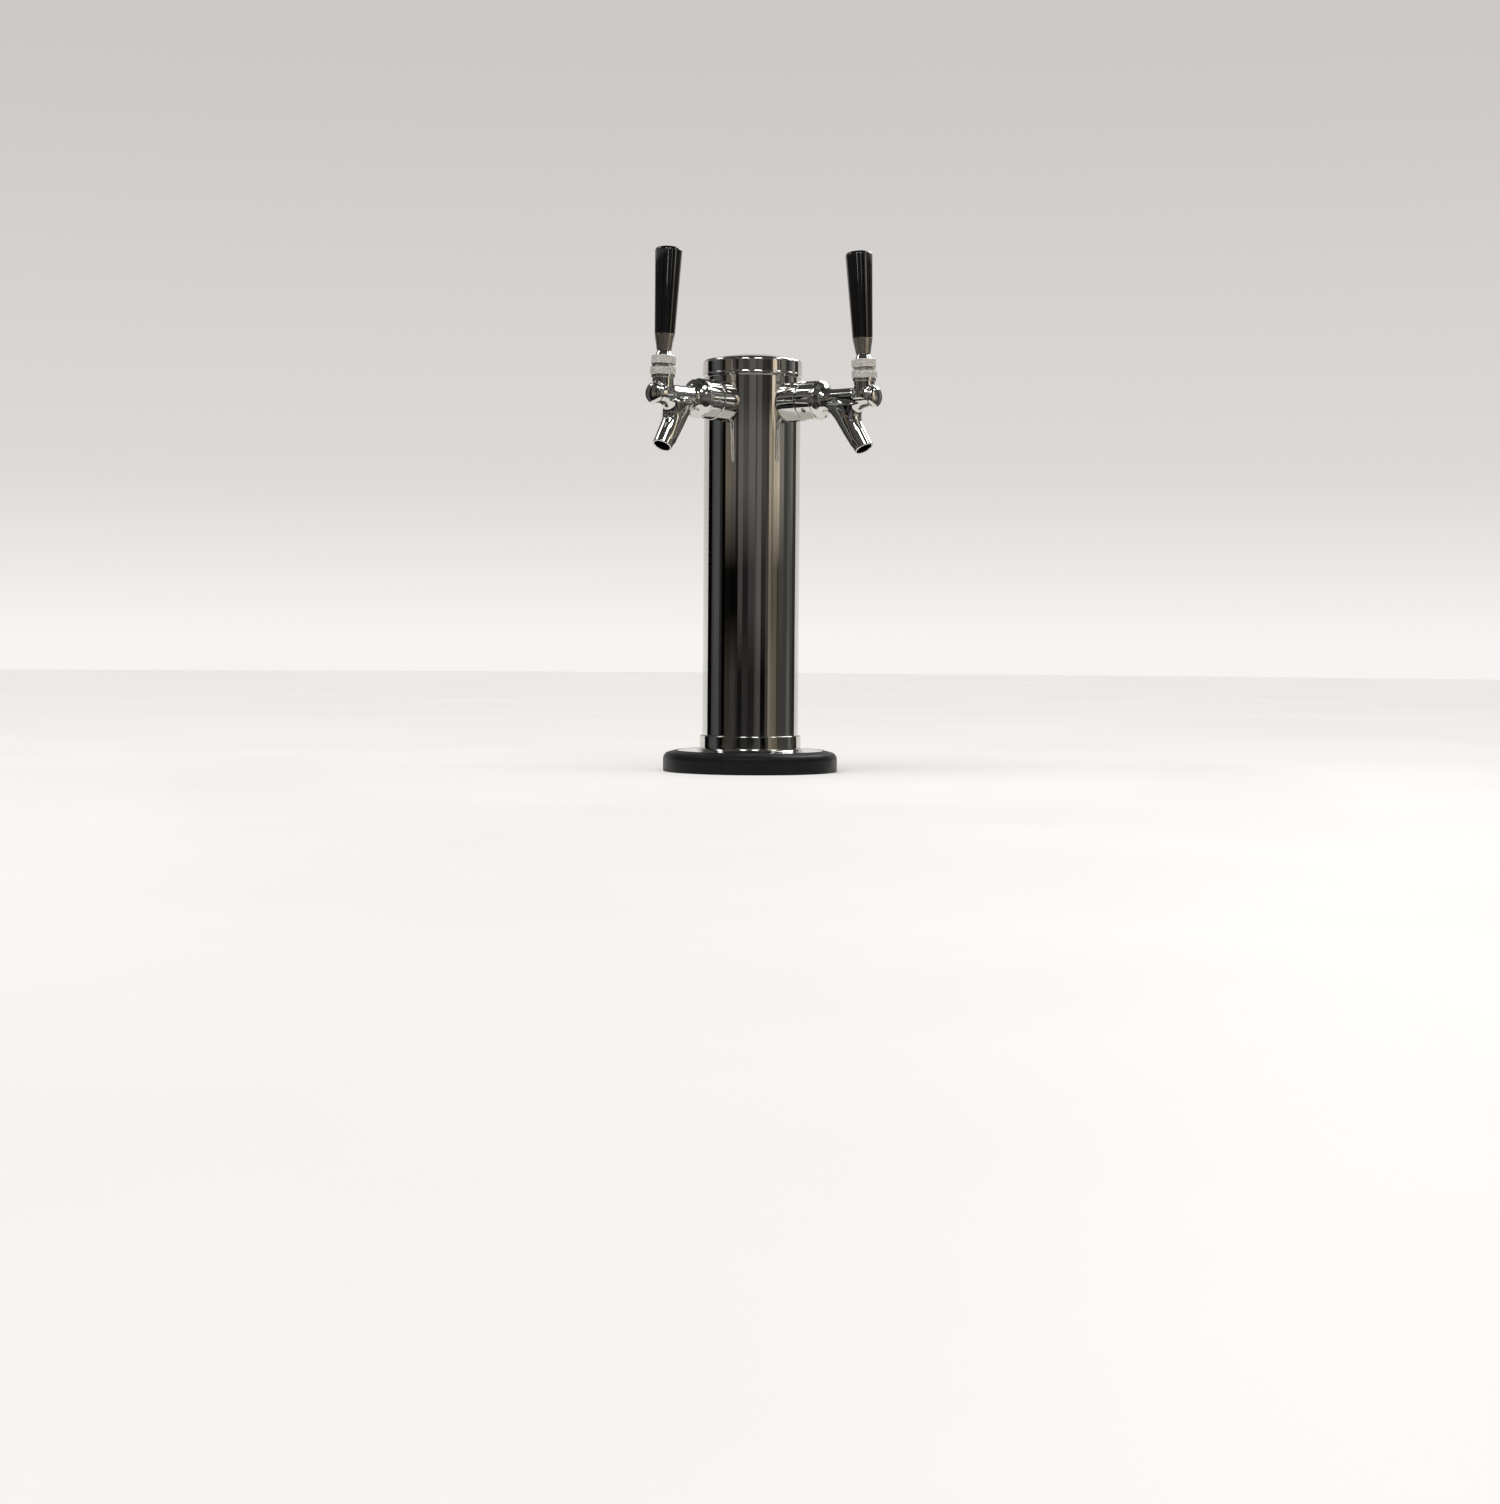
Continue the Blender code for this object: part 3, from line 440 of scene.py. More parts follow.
def turned_mesh(name, points, segments=128, knurl=None):
    """Revolve an outline round Z. knurl is (teeth, depth, low, high): grooves cut between two heights."""
    closed = not (points[0][0] == 0.0 and points[-1][0] == 0.0)
    line = np.array([tuple(p) for p in rounded(points, closed)])
    angles = 2.0 * math.pi * np.arange(segments) / segments
    radius = np.repeat(line[:, :1], segments, axis=1)
    if knurl:
        teeth, depth, low, high = knurl
        cut = np.clip(np.minimum(line[:, 1] - low, high - line[:, 1]) / 0.0002 + 1.0, 0.0, 1.0)
        cut *= line[:, 0] > 0.7 * line[:, 0].max()
        groove = 1.0 - np.abs(np.sin(teeth * angles / 2.0))
        radius = radius - depth * cut[:, None] * groove[None, :]
    rows = np.stack((radius * np.cos(angles), radius * np.sin(angles),
                     np.repeat(line[:, 1:], segments, axis=1)), axis=-1)
    rings = len(line)
    vertices = rows.reshape(-1, 3).tolist()
    faces = []
    last = rings if closed else rings - 1
    for ring in range(last):
        below = (ring + 1) % rings
        top_pole = not closed and ring == 0
        end_pole = not closed and below == rings - 1
        for step in range(segments):
            after = (step + 1) % segments
            face = [ring * segments + step, below * segments + step,
                    below * segments + after, ring * segments + after]
            if top_pole:
                face = [0, face[1], face[2]]
            elif end_pole:
                face = [face[0], (rings - 1) * segments, face[3]]
            faces.append(face)
    mesh = bpy.data.meshes.new(name)
    mesh.from_pydata(vertices, [], faces)
    tidy(mesh)
    return mesh


def tidy(mesh):
    """Drop unused points and turn every face outward."""
    shape = bmesh.new()
    shape.from_mesh(mesh)
    loose = [vertex for vertex in shape.verts if not vertex.link_faces]
    bmesh.ops.delete(shape, geom=loose, context="VERTS")
    bmesh.ops.recalc_face_normals(shape, faces=shape.faces)
    shape.to_mesh(mesh)
    shape.free()
    mesh.shade_smooth()
    mesh.set_sharp_from_angle(angle=SHARP_ANGLE)


def weighted(piece):
    """Keep flats flat beside their rounded edges."""
    modifier = piece.modifiers.new("flat_faces", "WEIGHTED_NORMAL")
    modifier.keep_sharp = True
    modifier.weight = 80
    return piece


def turned_piece(name, points, material, place, body, slot, *nodes, segments=128, knurl=None):
    mesh = turned_mesh(name, points, segments, knurl)
    return weighted(add_piece(name, mesh, material, place, body, slot, *nodes))


def drill(mesh, holes):
    """Cut turned holes, each (outline, place), out of a mesh and return the result."""
    base = bpy.data.objects.new("drilled", mesh)
    bpy.context.scene.collection.objects.link(base)
    cutters = []
    for number, (points, place) in enumerate(holes):
        cutter = bpy.data.objects.new(f"drill_{number}", turned_mesh(f"drill_{number}", points, 64))
        bpy.context.scene.collection.objects.link(cutter)
        cutter.matrix_world = place
        cutters.append(cutter)
        modifier = base.modifiers.new(cutter.name, "BOOLEAN")
        modifier.object = cutter
        modifier.operation = "DIFFERENCE"
        modifier.solver = "EXACT"
    bpy.context.view_layer.update()
    result = bpy.data.meshes.new_from_object(base.evaluated_get(bpy.context.evaluated_depsgraph_get()))
    for item in [base, *cutters]:
        bpy.data.objects.remove(item)
    result.shade_smooth()
    result.set_sharp_from_angle(angle=SHARP_ANGLE)
    return result


def tube_normals(mesh):
    """Exact normals on a drilled tube, so that its holes don't disturb the mirror."""
    normals = []
    for face in mesh.polygons:
        for vertex in face.vertices:
            point = mesh.vertices[vertex].co
            outward = Vector((point.x, point.y, 0.0)).normalized()
            facing = face.normal.dot(outward)
            if abs(face.normal.z) < 0.1 and abs(facing) > 0.97 and abs(point.xy.length - COLUMN_R) < GAP:
                normals.append(outward)
            elif abs(face.normal.z) < 0.1 and facing < -0.97:
                normals.append(-outward)
            else:
                normals.append(face.normal.copy())
    mesh.normals_split_custom_set(normals)


def hole_outline(radius, bottom, top):
    """Outline of a plain round hole between two heights."""
    return [(0.0, top), (radius, top), (radius, bottom), (0.0, bottom)]


def make_column():
    inner = COLUMN_R - COLUMN_WALL
    points = [(inner, COLUMN_HIGH.z), (COLUMN_R, COLUMN_HIGH.z, 0.0003), (COLUMN_R, COLUMN_LOW.z),
              (inner, COLUMN_LOW.z)]
    holes = []
    for side in SIDES:
        place = TOWER_PLACE.inverted() @ faucet_place(side) @ Matrix.Rotation(math.pi / 2.0, 4, "Y")
        holes.append((hole_outline(SHANK_HOLE_R + GAP, 0.020, 0.060), place))
    mesh = drill(turned_mesh("column", points, 192), holes)
    tube_normals(mesh)
    add_piece("column", mesh, COLUMN_STEEL, TOWER_PLACE, "tower", "stainless_polished", "column_tube")


def make_cap():
    outer = (CAP_HIGH.x - CAP_LOW.x) / 2.0
    inner = COLUMN_R + GAP
    edge_r = outer - CAP_EDGE_R
    edge_z = CAP_SHOULDER - CAP_EDGE_R
    edge = arc(edge_r, edge_z, CAP_EDGE_R, CAP_EDGE_R, 80.0, 2.0, 12)
    rise = CAP_HIGH.z - edge[0][1]
    dome = [(0.0, CAP_HIGH.z)]
    for step in range(1, 16):
        share = step / 16.0
        dome.append((edge[0][0] * share, CAP_HIGH.z - rise * share ** 2.2))
    under = [(radius, height - CAP_WALL) for radius, height in reversed(dome)]
    bead_r = outer + CAP_BEAD_RISE - CAP_BEAD_R
    bead = arc(bead_r, CAP_LOW.z + CAP_BEAD_Z, CAP_BEAD_R, CAP_BEAD_R, 30.0, -30.0, 12)
    skirt = [(outer, CAP_LOW.z, 0.0003), (inner, CAP_LOW.z), (inner, edge_z)]
    skirt += [(edge_r, CAP_SHOULDER - CAP_WALL - 0.0006)]
    points = dome + edge + bead + skirt + under
    turned_piece("cap", points, CAP_CHROME, TOWER_PLACE, "cap", "cap_chrome", "top_cap", segments=160)


def screw_outline(extra, bottom, top):
    """Outline of the countersunk hole that leaves some extra room round a screw."""
    head = SCREW_HEAD_R + extra
    shank = SCREW_R + extra
    cone_top = FLANGE_TOP - extra / 2.0
    cone_bottom = cone_top - (SCREW_HEAD_R - SCREW_R)
    return [(0.0, top), (head, top), (head, cone_top), (shank, cone_bottom), (shank, bottom), (0.0, bottom)]


def screw_place(index):
    angle = screw_angle(index)
    return Matrix.Translation((SCREW_CIRCLE_R * math.cos(angle), SCREW_CIRCLE_R * math.sin(angle), 0.0))


def make_flange():
    outer = (FLANGE_HIGH.x - FLANGE_LOW.x) / 2.0
    inner = COLUMN_R + GAP
    ledge = PASSAGE_R + 0.001
    ledge_top = FLANGE_TOP + GAP
    fillet = arc(COLLAR_R + COLLAR_FILLET, FLANGE_TOP + COLLAR_FILLET, COLLAR_FILLET, COLLAR_FILLET,
                 180.0, 270.0, 14)
    points = [(inner, FLANGE_HIGH.z, 0.0003), (COLLAR_R, FLANGE_HIGH.z, 0.0011)] + fillet
    points += [(outer, FLANGE_TOP, 0.0005), (outer, FLANGE_LOW.z), (ledge, FLANGE_LOW.z)]
    points += [(ledge, ledge_top), (inner, ledge_top)]
    holes = [(screw_outline(SCREW_CLEARANCE, 0.010, 0.020), screw_place(index))
             for index in range(SCREW_COUNT)]
    mesh = drill(turned_mesh("flange", points, 160), holes)
    piece = add_piece("flange", mesh, CHROME, TOWER_PLACE, "tower", "chrome", "base_flange")
    weighted(piece)


def make_riser():
    outer = (RISER_HIGH.x - RISER_LOW.x) / 2.0
    lip_r, lip_z = RISER_LIP
    recess = (FLANGE_HIGH.x - FLANGE_LOW.x) / 2.0 + RECESS_CLEARANCE
    points = [(PASSAGE_R, RISER_SEAT), (recess, RISER_SEAT), (recess, lip_z - GAP), (lip_r, lip_z, 0.0004)]
    points += arc(RISER_SHOULDER_R, RISER_SIDE_TOP, outer - RISER_SHOULDER_R, RISER_SHOULDER_RISE,
                  78.0, 0.0, 16)
    points += [(outer, 0.0, 0.0006), (PASSAGE_R, 0.0)]
    holes = [(hole_outline(SCREW_R + SCREW_CLEARANCE, -0.001, 0.020), screw_place(index))
             for index in range(SCREW_COUNT)]
    mesh = drill(turned_mesh("riser", points, 160), holes)
    piece = add_piece("riser", mesh, RISER_BLACK, TOWER_PLACE, "tower", "riser_black", "riser_ring")
    weighted(piece)


def polish_outside(piece, low, high):
    """Give bright chrome to the faces below and above a knurled band, and to those inside the ring."""
    mesh = piece.data
    mesh.materials.append(CHROME)
    widest = max(vertex.co.xy.length for vertex in mesh.vertices)
    for face in mesh.polygons:
        on_band = low < face.center.z < high and face.center.xy.length > 0.9 * widest
        face.material_index = 0 if on_band else 1


def make_bonnet(side):
    """Compression ring: ribbed crown, broad knurled band and a plain polished band under it."""
    band_low, band_high = BONNET_BAND
    points = [(BONNET_HOLE_R, BONNET_UNDER), (0.0071, BONNET_TOP), (BONNET_R - 0.0017, BONNET_TOP, 0.0003)]
    points += [(BONNET_R - 0.0012, band_high + 0.0001)]
    points += [(BONNET_R - 0.0002, band_high), (BONNET_R, band_high - 0.0002)]
    points += [(BONNET_R, band_low + 0.0005), (BONNET_R, band_low)]
    points += [(BONNET_R - 0.0006, band_low - 0.0003), (BONNET_R - 0.0006, BONNET_BOTTOM, 0.0004)]
    points += [(BONNET_THREAD_R, BONNET_BOTTOM), (BONNET_THREAD_R, BONNET_UNDER)]
    knurl = (KNURL_TEETH, BONNET_KNURL_DEPTH, band_low, BONNET_TOP + 0.0002)
    piece = turned_piece(f"{side}_bonnet_ring", points, KNURLED, pivot_place(side), "tower",
                         "knurled_metal", f"{side}_bonnet", segments=KNURL_STEPS, knurl=knurl)
    polish_outside(piece, band_low - 0.0001, band_high)


def make_collar(side):
    """Lever collar: a hollow knurled ring with a polished lip on top."""
    rim = math.degrees(math.acos(COLLAR_RING_R / HOLLOW_R))
    crown = math.degrees(math.acos((STEM_R + GAP) / HOLLOW_R))
    rim_z = HOLLOW_R * math.sin(math.radians(rim))
    hollow = arc(0.0, 0.0, HOLLOW_R, HOLLOW_R, rim, crown, 16)
    points = [(STEM_R + GAP, LIP_TOP), (LIP_R - LIP_FLARE / 2.0, LIP_TOP, 0.0005)]
    points += [(LIP_R + LIP_FLARE / 2.0, COLLAR_RING_TOP + 0.0002)]
    points += [(COLLAR_RING_R, COLLAR_RING_TOP, 0.0005)]
    points += [(COLLAR_RING_R, COLLAR_RING_TOP - 0.0020), (COLLAR_RING_R, rim_z + 0.0006)] + hollow
    knurl = (KNURL_TEETH, COLLAR_KNURL_DEPTH, rim_z + 0.0004, COLLAR_RING_TOP - 0.0006)
    piece = turned_piece(f"{side}_collar", points, KNURLED, pivot_place(side, LEVER_LEAN), f"{side}_lever",
                         "knurled_metal", f"{side}_lever_collar", segments=KNURL_STEPS, knurl=knurl)
    polish_outside(piece, rim_z + 0.0001, COLLAR_RING_TOP)


def make_ferrule(side):
    bottom_r, top_r = FERRULE_R
    start = LIP_TOP + GAP
    points = [(STEM_R + GAP, FERRULE_TOP), (top_r, FERRULE_TOP, 0.0002)]
    points += [(top_r - 0.0001, FERRULE_TOP - 0.0010), (bottom_r, start, 0.0004)]
    points += [(STEM_R + GAP, start)]
    turned_piece(f"{side}_ferrule", points, FERRULE_SATIN, pivot_place(side, LEVER_LEAN), f"{side}_lever",
                 "satin_metal", f"{side}_handle_ferrule", segments=96)


def make_grip(side):
    bottom_r, top_r = GRIP_R
    start = FERRULE_TOP + GAP
    edge_r = top_r - GRIP_EDGE_R
    edge_z = GRIP_TOP - 0.0006 - GRIP_EDGE_R
    points = [(0.0, GRIP_TOP), (edge_r * 0.35, GRIP_TOP - 0.00007), (edge_r * 0.7, GRIP_TOP - 0.0003)]
    points += arc(edge_r, edge_z, GRIP_EDGE_R, GRIP_EDGE_R, 84.0, 2.0, 14)
    points += [(bottom_r, start, 0.0005), (STEM_R + GAP, start), (STEM_R + GAP, STEM_TOP + GAP)]
    points += [(0.0, STEM_TOP + GAP)]
    turned_piece(f"{side}_grip", points, BLACK_HANDLE, pivot_place(side, LEVER_LEAN), f"{side}_lever",
                 "black_handle", f"{side}_handle_grip", segments=96)


def make_lever(side):
    """Ball, stem and tail in one, as in the CAD but fully round."""
    tail_join = math.degrees(math.acos(TAIL_R / BALL_R))
    stem_join = math.degrees(math.acos(STEM_R / BALL_R))
    tip_join = math.degrees(math.asin(math.sqrt(1.0 - (TAIL_R / TAIL_BALL_R) ** 2)))
    points = [(0.0, STEM_TOP), (STEM_R, STEM_TOP, 0.0003)]
    points += arc(0.0, 0.0, BALL_R, BALL_R, stem_join, -tail_join, 24)
    points += arc(0.0, -PIVOT_H, TAIL_BALL_R, TAIL_BALL_R, tip_join, -84.0, 14)
    points += [(0.0, -PIVOT_H - TAIL_BALL_R)]
    turned_piece(f"{side}_lever_stem", points, INNER_STEEL, pivot_place(side, LEVER_LEAN), f"{side}_lever",
                 "inner_steel", f"{side}_lever", segments=64)


# ------------------------------------------------------------------ distance functions
def join(first, second, width):
    """The smaller of two distances, with a fillet of about that width where they meet."""
    share = np.clip(0.5 + 0.5 * (second - first) / width, 0.0, 1.0)
    return second + (first - second) * share - width * share * (1.0 - share)


def overlap(first, second, width):
    return -join(-first, -second, width)


def cut(shape, tool, width):
    return overlap(shape, -tool, width)


def from_line(points, start, direction):
    """Distance from a line, and how far along it, for each point."""
    offset = points - start
    along = offset @ direction
    return np.sqrt(np.maximum((offset ** 2).sum(axis=1) - along ** 2, 0.0)), along


def eased(share):
    return share ** 2 * (3.0 - 2.0 * share)


def flat_distance(x, y, corners):
    """Distance to a flat outline, negative inside."""
    nearest = np.full(x.shape, 1.0)
    inside = np.zeros(x.shape, bool)
    for (ax, ay), (bx, by) in zip(corners, corners[1:] + corners[:1]):
        ex, ey = bx - ax, by - ay
        share = np.clip(((x - ax) * ex + (y - ay) * ey) / (ex * ex + ey * ey), 0.0, 1.0)
        nearest = np.minimum(nearest, np.hypot(x - ax - share * ex, y - ay - share * ey))
        crosses = (ay > y) != (by > y)
        if ey:
            inside ^= crosses & (x < ax + ex * (y - ay) / ey)
    return np.where(inside, -nearest, nearest)


PROFILE_STEP = 0.0001
PROFILE_S = np.arange(BELL_POINTS[0][0] - 0.004, BELL_POINTS[-1][0] + 0.004, PROFILE_STEP)
SMOOTHING = np.exp(-0.5 * (np.arange(-12, 13) / 5.0) ** 2)
PROFILE_R = np.convolve(
    np.pad(np.interp(PROFILE_S, *zip(*BELL_POINTS)), 12, mode="edge"), SMOOTHING / SMOOTHING.sum(), "valid")
PROFILE_COS = 1.0 / np.sqrt(1.0 + np.gradient(PROFILE_R, PROFILE_STEP) ** 2)
SPOUT_AXIS = np.array((-math.sin(SPOUT_LEAN), 0.0, math.cos(SPOUT_LEAN)))
SPOUT_FRONT = np.array((math.cos(SPOUT_LEAN), 0.0, math.sin(SPOUT_LEAN)))
VENT_AXIS = np.array((math.sin(VENT_TURN), 0.0, math.cos(VENT_TURN)))


def body_distance(points):
    """Faucet body: bell and barrel, nose, neck, leaning spout with its web, and all that is bored out."""
    s, side, h = points.T
    r = np.hypot(side, h)
    barrel = (r - np.interp(s, PROFILE_S, PROFILE_R)) * np.interp(s, PROFILE_S, PROFILE_COS)
    barrel = overlap(barrel, np.maximum(SHOULDER_S - s, s - NOSE_S), BODY_EDGE)
    scaled = np.sqrt(((s - NOSE_S) / NOSE_HALF) ** 2 + (r / NOSE_R) ** 2)
    slope = np.sqrt(((s - NOSE_S) / NOSE_HALF ** 2) ** 2 + (r / NOSE_R ** 2) ** 2)
    nose = scaled * (scaled - 1.0) / np.maximum(slope, 1.0)
    neck_r = np.hypot(s - PIVOT_S, side)
    neck = overlap(neck_r - NECK_R, np.maximum(h - NECK_TOP, -h), 0.0005)
    spout_r, spout_up = from_line(points, OUTLET, SPOUT_AXIS)
    spout = overlap(spout_r - SPOUT_R, np.maximum(-spout_up, spout_up - SPOUT_LENGTH), BODY_EDGE)
    web = overlap(flat_distance(s, h, WEB_POINTS), np.abs(side) - WEB_HALF, WEB_EDGE)
    shape = join(barrel, nose, 0.0010)
    forward = (points - OUTLET) @ SPOUT_FRONT
    front = np.clip(forward / SPOUT_R + 0.2, 0.0, 1.0)
    below = np.clip(-h / FILLET_FADE, 0.0, 1.0)
    fillet = REAR_FILLET + (FRONT_FILLET - REAR_FILLET) * eased(front)
    shape = join(shape, join(spout, web, WEB_FILLET), BODY_EDGE + (fillet - BODY_EDGE) * eased(below))
    shape = join(shape, neck, 0.0024)
    thread = np.maximum(r - THREAD_R, np.maximum(BODY_REAR - s, s - SHOULDER_S - 0.001))
    shape = np.minimum(shape, thread)
    chamber = np.maximum(r - CHAMBER_R, s - SEAT_S)
    bore = np.maximum(r - BORE_R, s - BORE_END)
    socket = np.maximum(neck_r - BALL_BORE_R, BALL_SEAT - h)
    tail = np.maximum(neck_r - TAIL_BORE_R, -h)
    outlet = np.maximum(spout_r - SPOUT_BORE_R, spout_up - SPOUT_BORE_LENGTH)
    scoop = np.sqrt(((points - SCOOP_CENTRE) ** 2).sum(axis=1)) - SCOOP_R
    vent_r, vent_along = from_line(points, SCOOP_CENTRE, VENT_AXIS)
    vent = np.maximum(vent_r - VENT_R, np.maximum(-vent_along, vent_along - VENT_LENGTH))
    for tool in (chamber, bore, socket, tail, outlet, scoop):
        shape = cut(shape, tool, 0.0007)
    return cut(shape, vent, 0.0003)


def nut_distance(points):
    """Coupling nut: a ring with a lip inside one end and three blind holes for a spanner."""
    s, side, h = points.T
    r = np.hypot(side, h)
    shape = overlap(r - NUT_R, np.maximum(NUT_START - s, s - NUT_END), 0.0009)
    hollow = np.minimum(r - SHANK_HOLE_R, np.maximum(r - THREAD_R - GAP, NUT_LIP_END - s))
    shape = cut(shape, hollow, 0.0004)
    middle = np.array(((NUT_START + NUT_END) / 2.0, 0.0, 0.0))
    for index in range(SPANNER_HOLES):
        turn = 2.0 * math.pi * index / SPANNER_HOLES
        across, along = from_line(points, middle, np.array((0.0, -math.sin(turn), math.cos(turn))))
        hole = np.maximum(across - SPANNER_HOLE_R, NUT_R - SPANNER_HOLE_DEPTH - along)
        shape = cut(shape, hole, 0.0004)
    return shape


def saddle_distance(points):
    """Spacer between the column and the nut, hollowed to sit on the round column."""
    s, side, h = points.T
    r = np.hypot(side, h)
    shape = overlap(r - SADDLE_R, s - SADDLE_END, 0.0009)
    shape = cut(shape, np.hypot(s, side) - COLUMN_R - GAP, 0.0003)
    return cut(shape, r - SHANK_HOLE_R, 0.0004)


def screw_distance(points):
    """Countersunk screw with a hexagon socket, standing on Z."""
    x, y, z = points.T
    r = np.hypot(x, y)
    cone = (r - SCREW_HEAD_R - (z - FLANGE_TOP)) / math.sqrt(2.0)
    head = overlap(np.maximum(r - SCREW_HEAD_R, cone), z - FLANGE_TOP, 0.0003)
    shank = np.maximum(r - SCREW_R, np.maximum(SCREW_END - z, z - FLANGE_TOP + 0.0005))
    shape = np.minimum(head, shank)
    flats = np.full(x.shape, -1.0)
    for index in range(3):
        angle = math.pi * index / 3.0
        flats = np.maximum(flats, np.abs(x * math.cos(angle) + y * math.sin(angle)))
    socket = np.maximum(flats - SCREW_SOCKET_R, FLANGE_TOP - SCREW_SOCKET_DEPTH - z)
    return cut(shape, socket, 0.0002)


# ------------------------------------------------------------------ meshing a distance function
def grid_values(distance, low, cell, counts):
    axes = [low[axis] + cell * np.arange(counts[axis]) for axis in range(3)]
    values = np.empty(counts)
    for index, x in enumerate(axes[0]):
        y, z = np.meshgrid(axes[1], axes[2], indexing="ij")
        points = np.stack((np.full(y.size, x), y.ravel(), z.ravel()), axis=1)
        values[index] = distance(points).reshape(y.shape)
    return values


def shifted(array, start, shape):
    return array[tuple(slice(first, first + length) for first, length in zip(start, shape))]


def surface_net(distance, low, high, cell):
    """One point in each grid cell that the surface crosses, and a quad round each crossed grid edge."""
    counts = tuple(int(n) for n in np.ceil((high - low) / cell).astype(int) + 1)
    values = grid_values(distance, low, cell, counts)
    cells = tuple(n - 1 for n in counts)
    total = np.zeros(cells + (3,))
    crossings = np.zeros(cells)
    unit = np.eye(3, dtype=int)
    for axis in range(3):
        one, two = unit[(axis + 1) % 3], unit[(axis + 2) % 3]
        for start in (0 * one, one, two, one + two):
            near = shifted(values, start, cells)
            far = shifted(values, start + unit[axis], cells)
            crossed = (near < 0.0) != (far < 0.0)
            share = np.where(crossed, near / np.where(crossed, near - far, 1.0), 0.0)
            total += crossed[..., None] * start + share[..., None] * unit[axis]
            crossings += crossed
    used = crossings > 0
    numbers = np.full(cells, -1)
    numbers[used] = np.arange(used.sum())
    points = low + cell * (np.argwhere(used) + total[used] / crossings[used][:, None])
    quads = []
    for axis in range(3):
        one, two = unit[(axis + 1) % 3], unit[(axis + 2) % 3]
        inner = tuple(n - 1 if a == axis else n - 2 for a, n in enumerate(counts))
        near = shifted(values, one + two, inner) < 0.0
        far = shifted(values, one + two + unit[axis], inner) < 0.0
        where = np.argwhere(near != far)
        outward = near[tuple(where.T)]
        where = where + one + two
        ring = [numbers[tuple((where - offset).T)] for offset in (one + two, two, 0 * one, one)]
        quad = np.stack(ring, axis=1)
        quad[~outward] = quad[~outward][:, ::-1]
        quads.append(quad)
    return points, np.concatenate(quads)


def slope_of(distance, points, step=0.00004):
    slope = np.empty_like(points)
    for axis in range(3):
        offset = np.zeros(3)
        offset[axis] = step
        slope[:, axis] = (distance(points + offset) - distance(points - offset)) / (2.0 * step)
    return slope


def onto_surface(distance, points, limit):
    slope = slope_of(distance, points)
    length = np.maximum((slope ** 2).sum(axis=1), 0.05)
    move = slope * (distance(points) / length)[:, None]
    size = np.linalg.norm(move, axis=1)
    move *= np.minimum(1.0, limit / np.maximum(size, 1e-9))[:, None]
    return points - move


def even_out(distance, points, quads, limit):
    """Slide the points along the surface towards the middle of their neighbours."""
    slope = slope_of(distance, points)
    normal = slope / np.maximum(np.linalg.norm(slope, axis=1), 1e-9)[:, None]
    total = np.zeros_like(points)
    count = np.zeros(len(points))
    for first in range(4):
        a, b = quads[:, first], quads[:, (first + 1) % 4]
        np.add.at(total, a, points[b])
        np.add.at(total, b, points[a])
        np.add.at(count, a, 1)
        np.add.at(count, b, 1)
    move = total / np.maximum(count, 1)[:, None] - points
    move -= normal * (move * normal).sum(axis=1)[:, None]
    return onto_surface(distance, points + 0.5 * move, limit)


def solid_mesh(name, distance, low, high, cell):
    """Mesh a distance function and give it the function's own smooth normals."""
    points, quads = surface_net(distance, np.array(low), np.array(high), cell)
    for _ in range(2):
        points = onto_surface(distance, points, cell)
    for _ in range(4):
        points = even_out(distance, points, quads, cell / 2.0)
    points = onto_surface(distance, points, cell / 4.0)
    slope = slope_of(distance, points, 0.00008)
    normals = slope / np.maximum(np.linalg.norm(slope, axis=1), 1e-9)[:, None]
    mesh = bpy.data.meshes.new(name)
    mesh.from_pydata(points.tolist(), [], quads.tolist())
    mesh.shade_smooth()
    mesh.normals_split_custom_set_from_vertices(normals.tolist())
    return mesh


def make_solids():
    """The faucet bodies, nuts, saddles and screws, one mesh for each kind."""
    edge = MESH_MARGIN
    spout_low = OUTLET[2] - SPOUT_DIP
    body = solid_mesh("faucet_body", body_distance, (BODY_REAR - edge, -BELL_R - edge, spout_low),
                      (NOSE_S + NOSE_HALF + edge, BELL_R + edge, NECK_TOP + edge), CASTING_CELL)
    nut = solid_mesh("coupling_nut", nut_distance, (NUT_START - edge, -NUT_R - edge, -NUT_R - edge),
                     (NUT_END + edge, NUT_R + edge, NUT_R + edge), CASTING_CELL)
    saddle = solid_mesh("saddle", saddle_distance, (0.0330, -SADDLE_R - edge, -SADDLE_R - edge),
                        (SADDLE_END + edge, SADDLE_R + edge, SADDLE_R + edge), CASTING_CELL)
    screw = solid_mesh("screw", screw_distance, (-0.0050, -0.0050, 0.0), (0.0050, 0.0050, 0.0175),
                       SCREW_CELL)
    for side in SIDES:
        place = faucet_place(side)
        turn = Matrix.Rotation(SPANNER_TURNS[side], 4, "X")
        add_piece(f"{side}_body", body, CHROME, place, "tower", "chrome", f"{side}_faucet_body")
        add_piece(f"{side}_nut", nut, CHROME, place @ turn, "tower", "chrome", f"{side}_coupling_nut")
        add_piece(f"{side}_spacer", saddle, CHROME, place, "tower", "chrome", f"{side}_saddle")
    for index in range(SCREW_COUNT):
        add_piece(f"screw_{index + 1}", screw, SCREW_STEEL, TOWER_PLACE @ screw_place(index), "tower",
                  "screw_steel", f"flange_screw_{index + 1}")


# ------------------------------------------------------------------ CAD nodes that stay as they are
CARRIED = {
    "shank": BRASS, "shank_locknut": BRASS, "shaft_nut": BRASS, "shank_washer": INNER_STEEL,
    "shank_elbow": INNER_STEEL, "shaft": INNER_STEEL, "coupling_washer": NYLON, "lever_bushing": NYLON,
    "seat_washer": RUBBER,
}


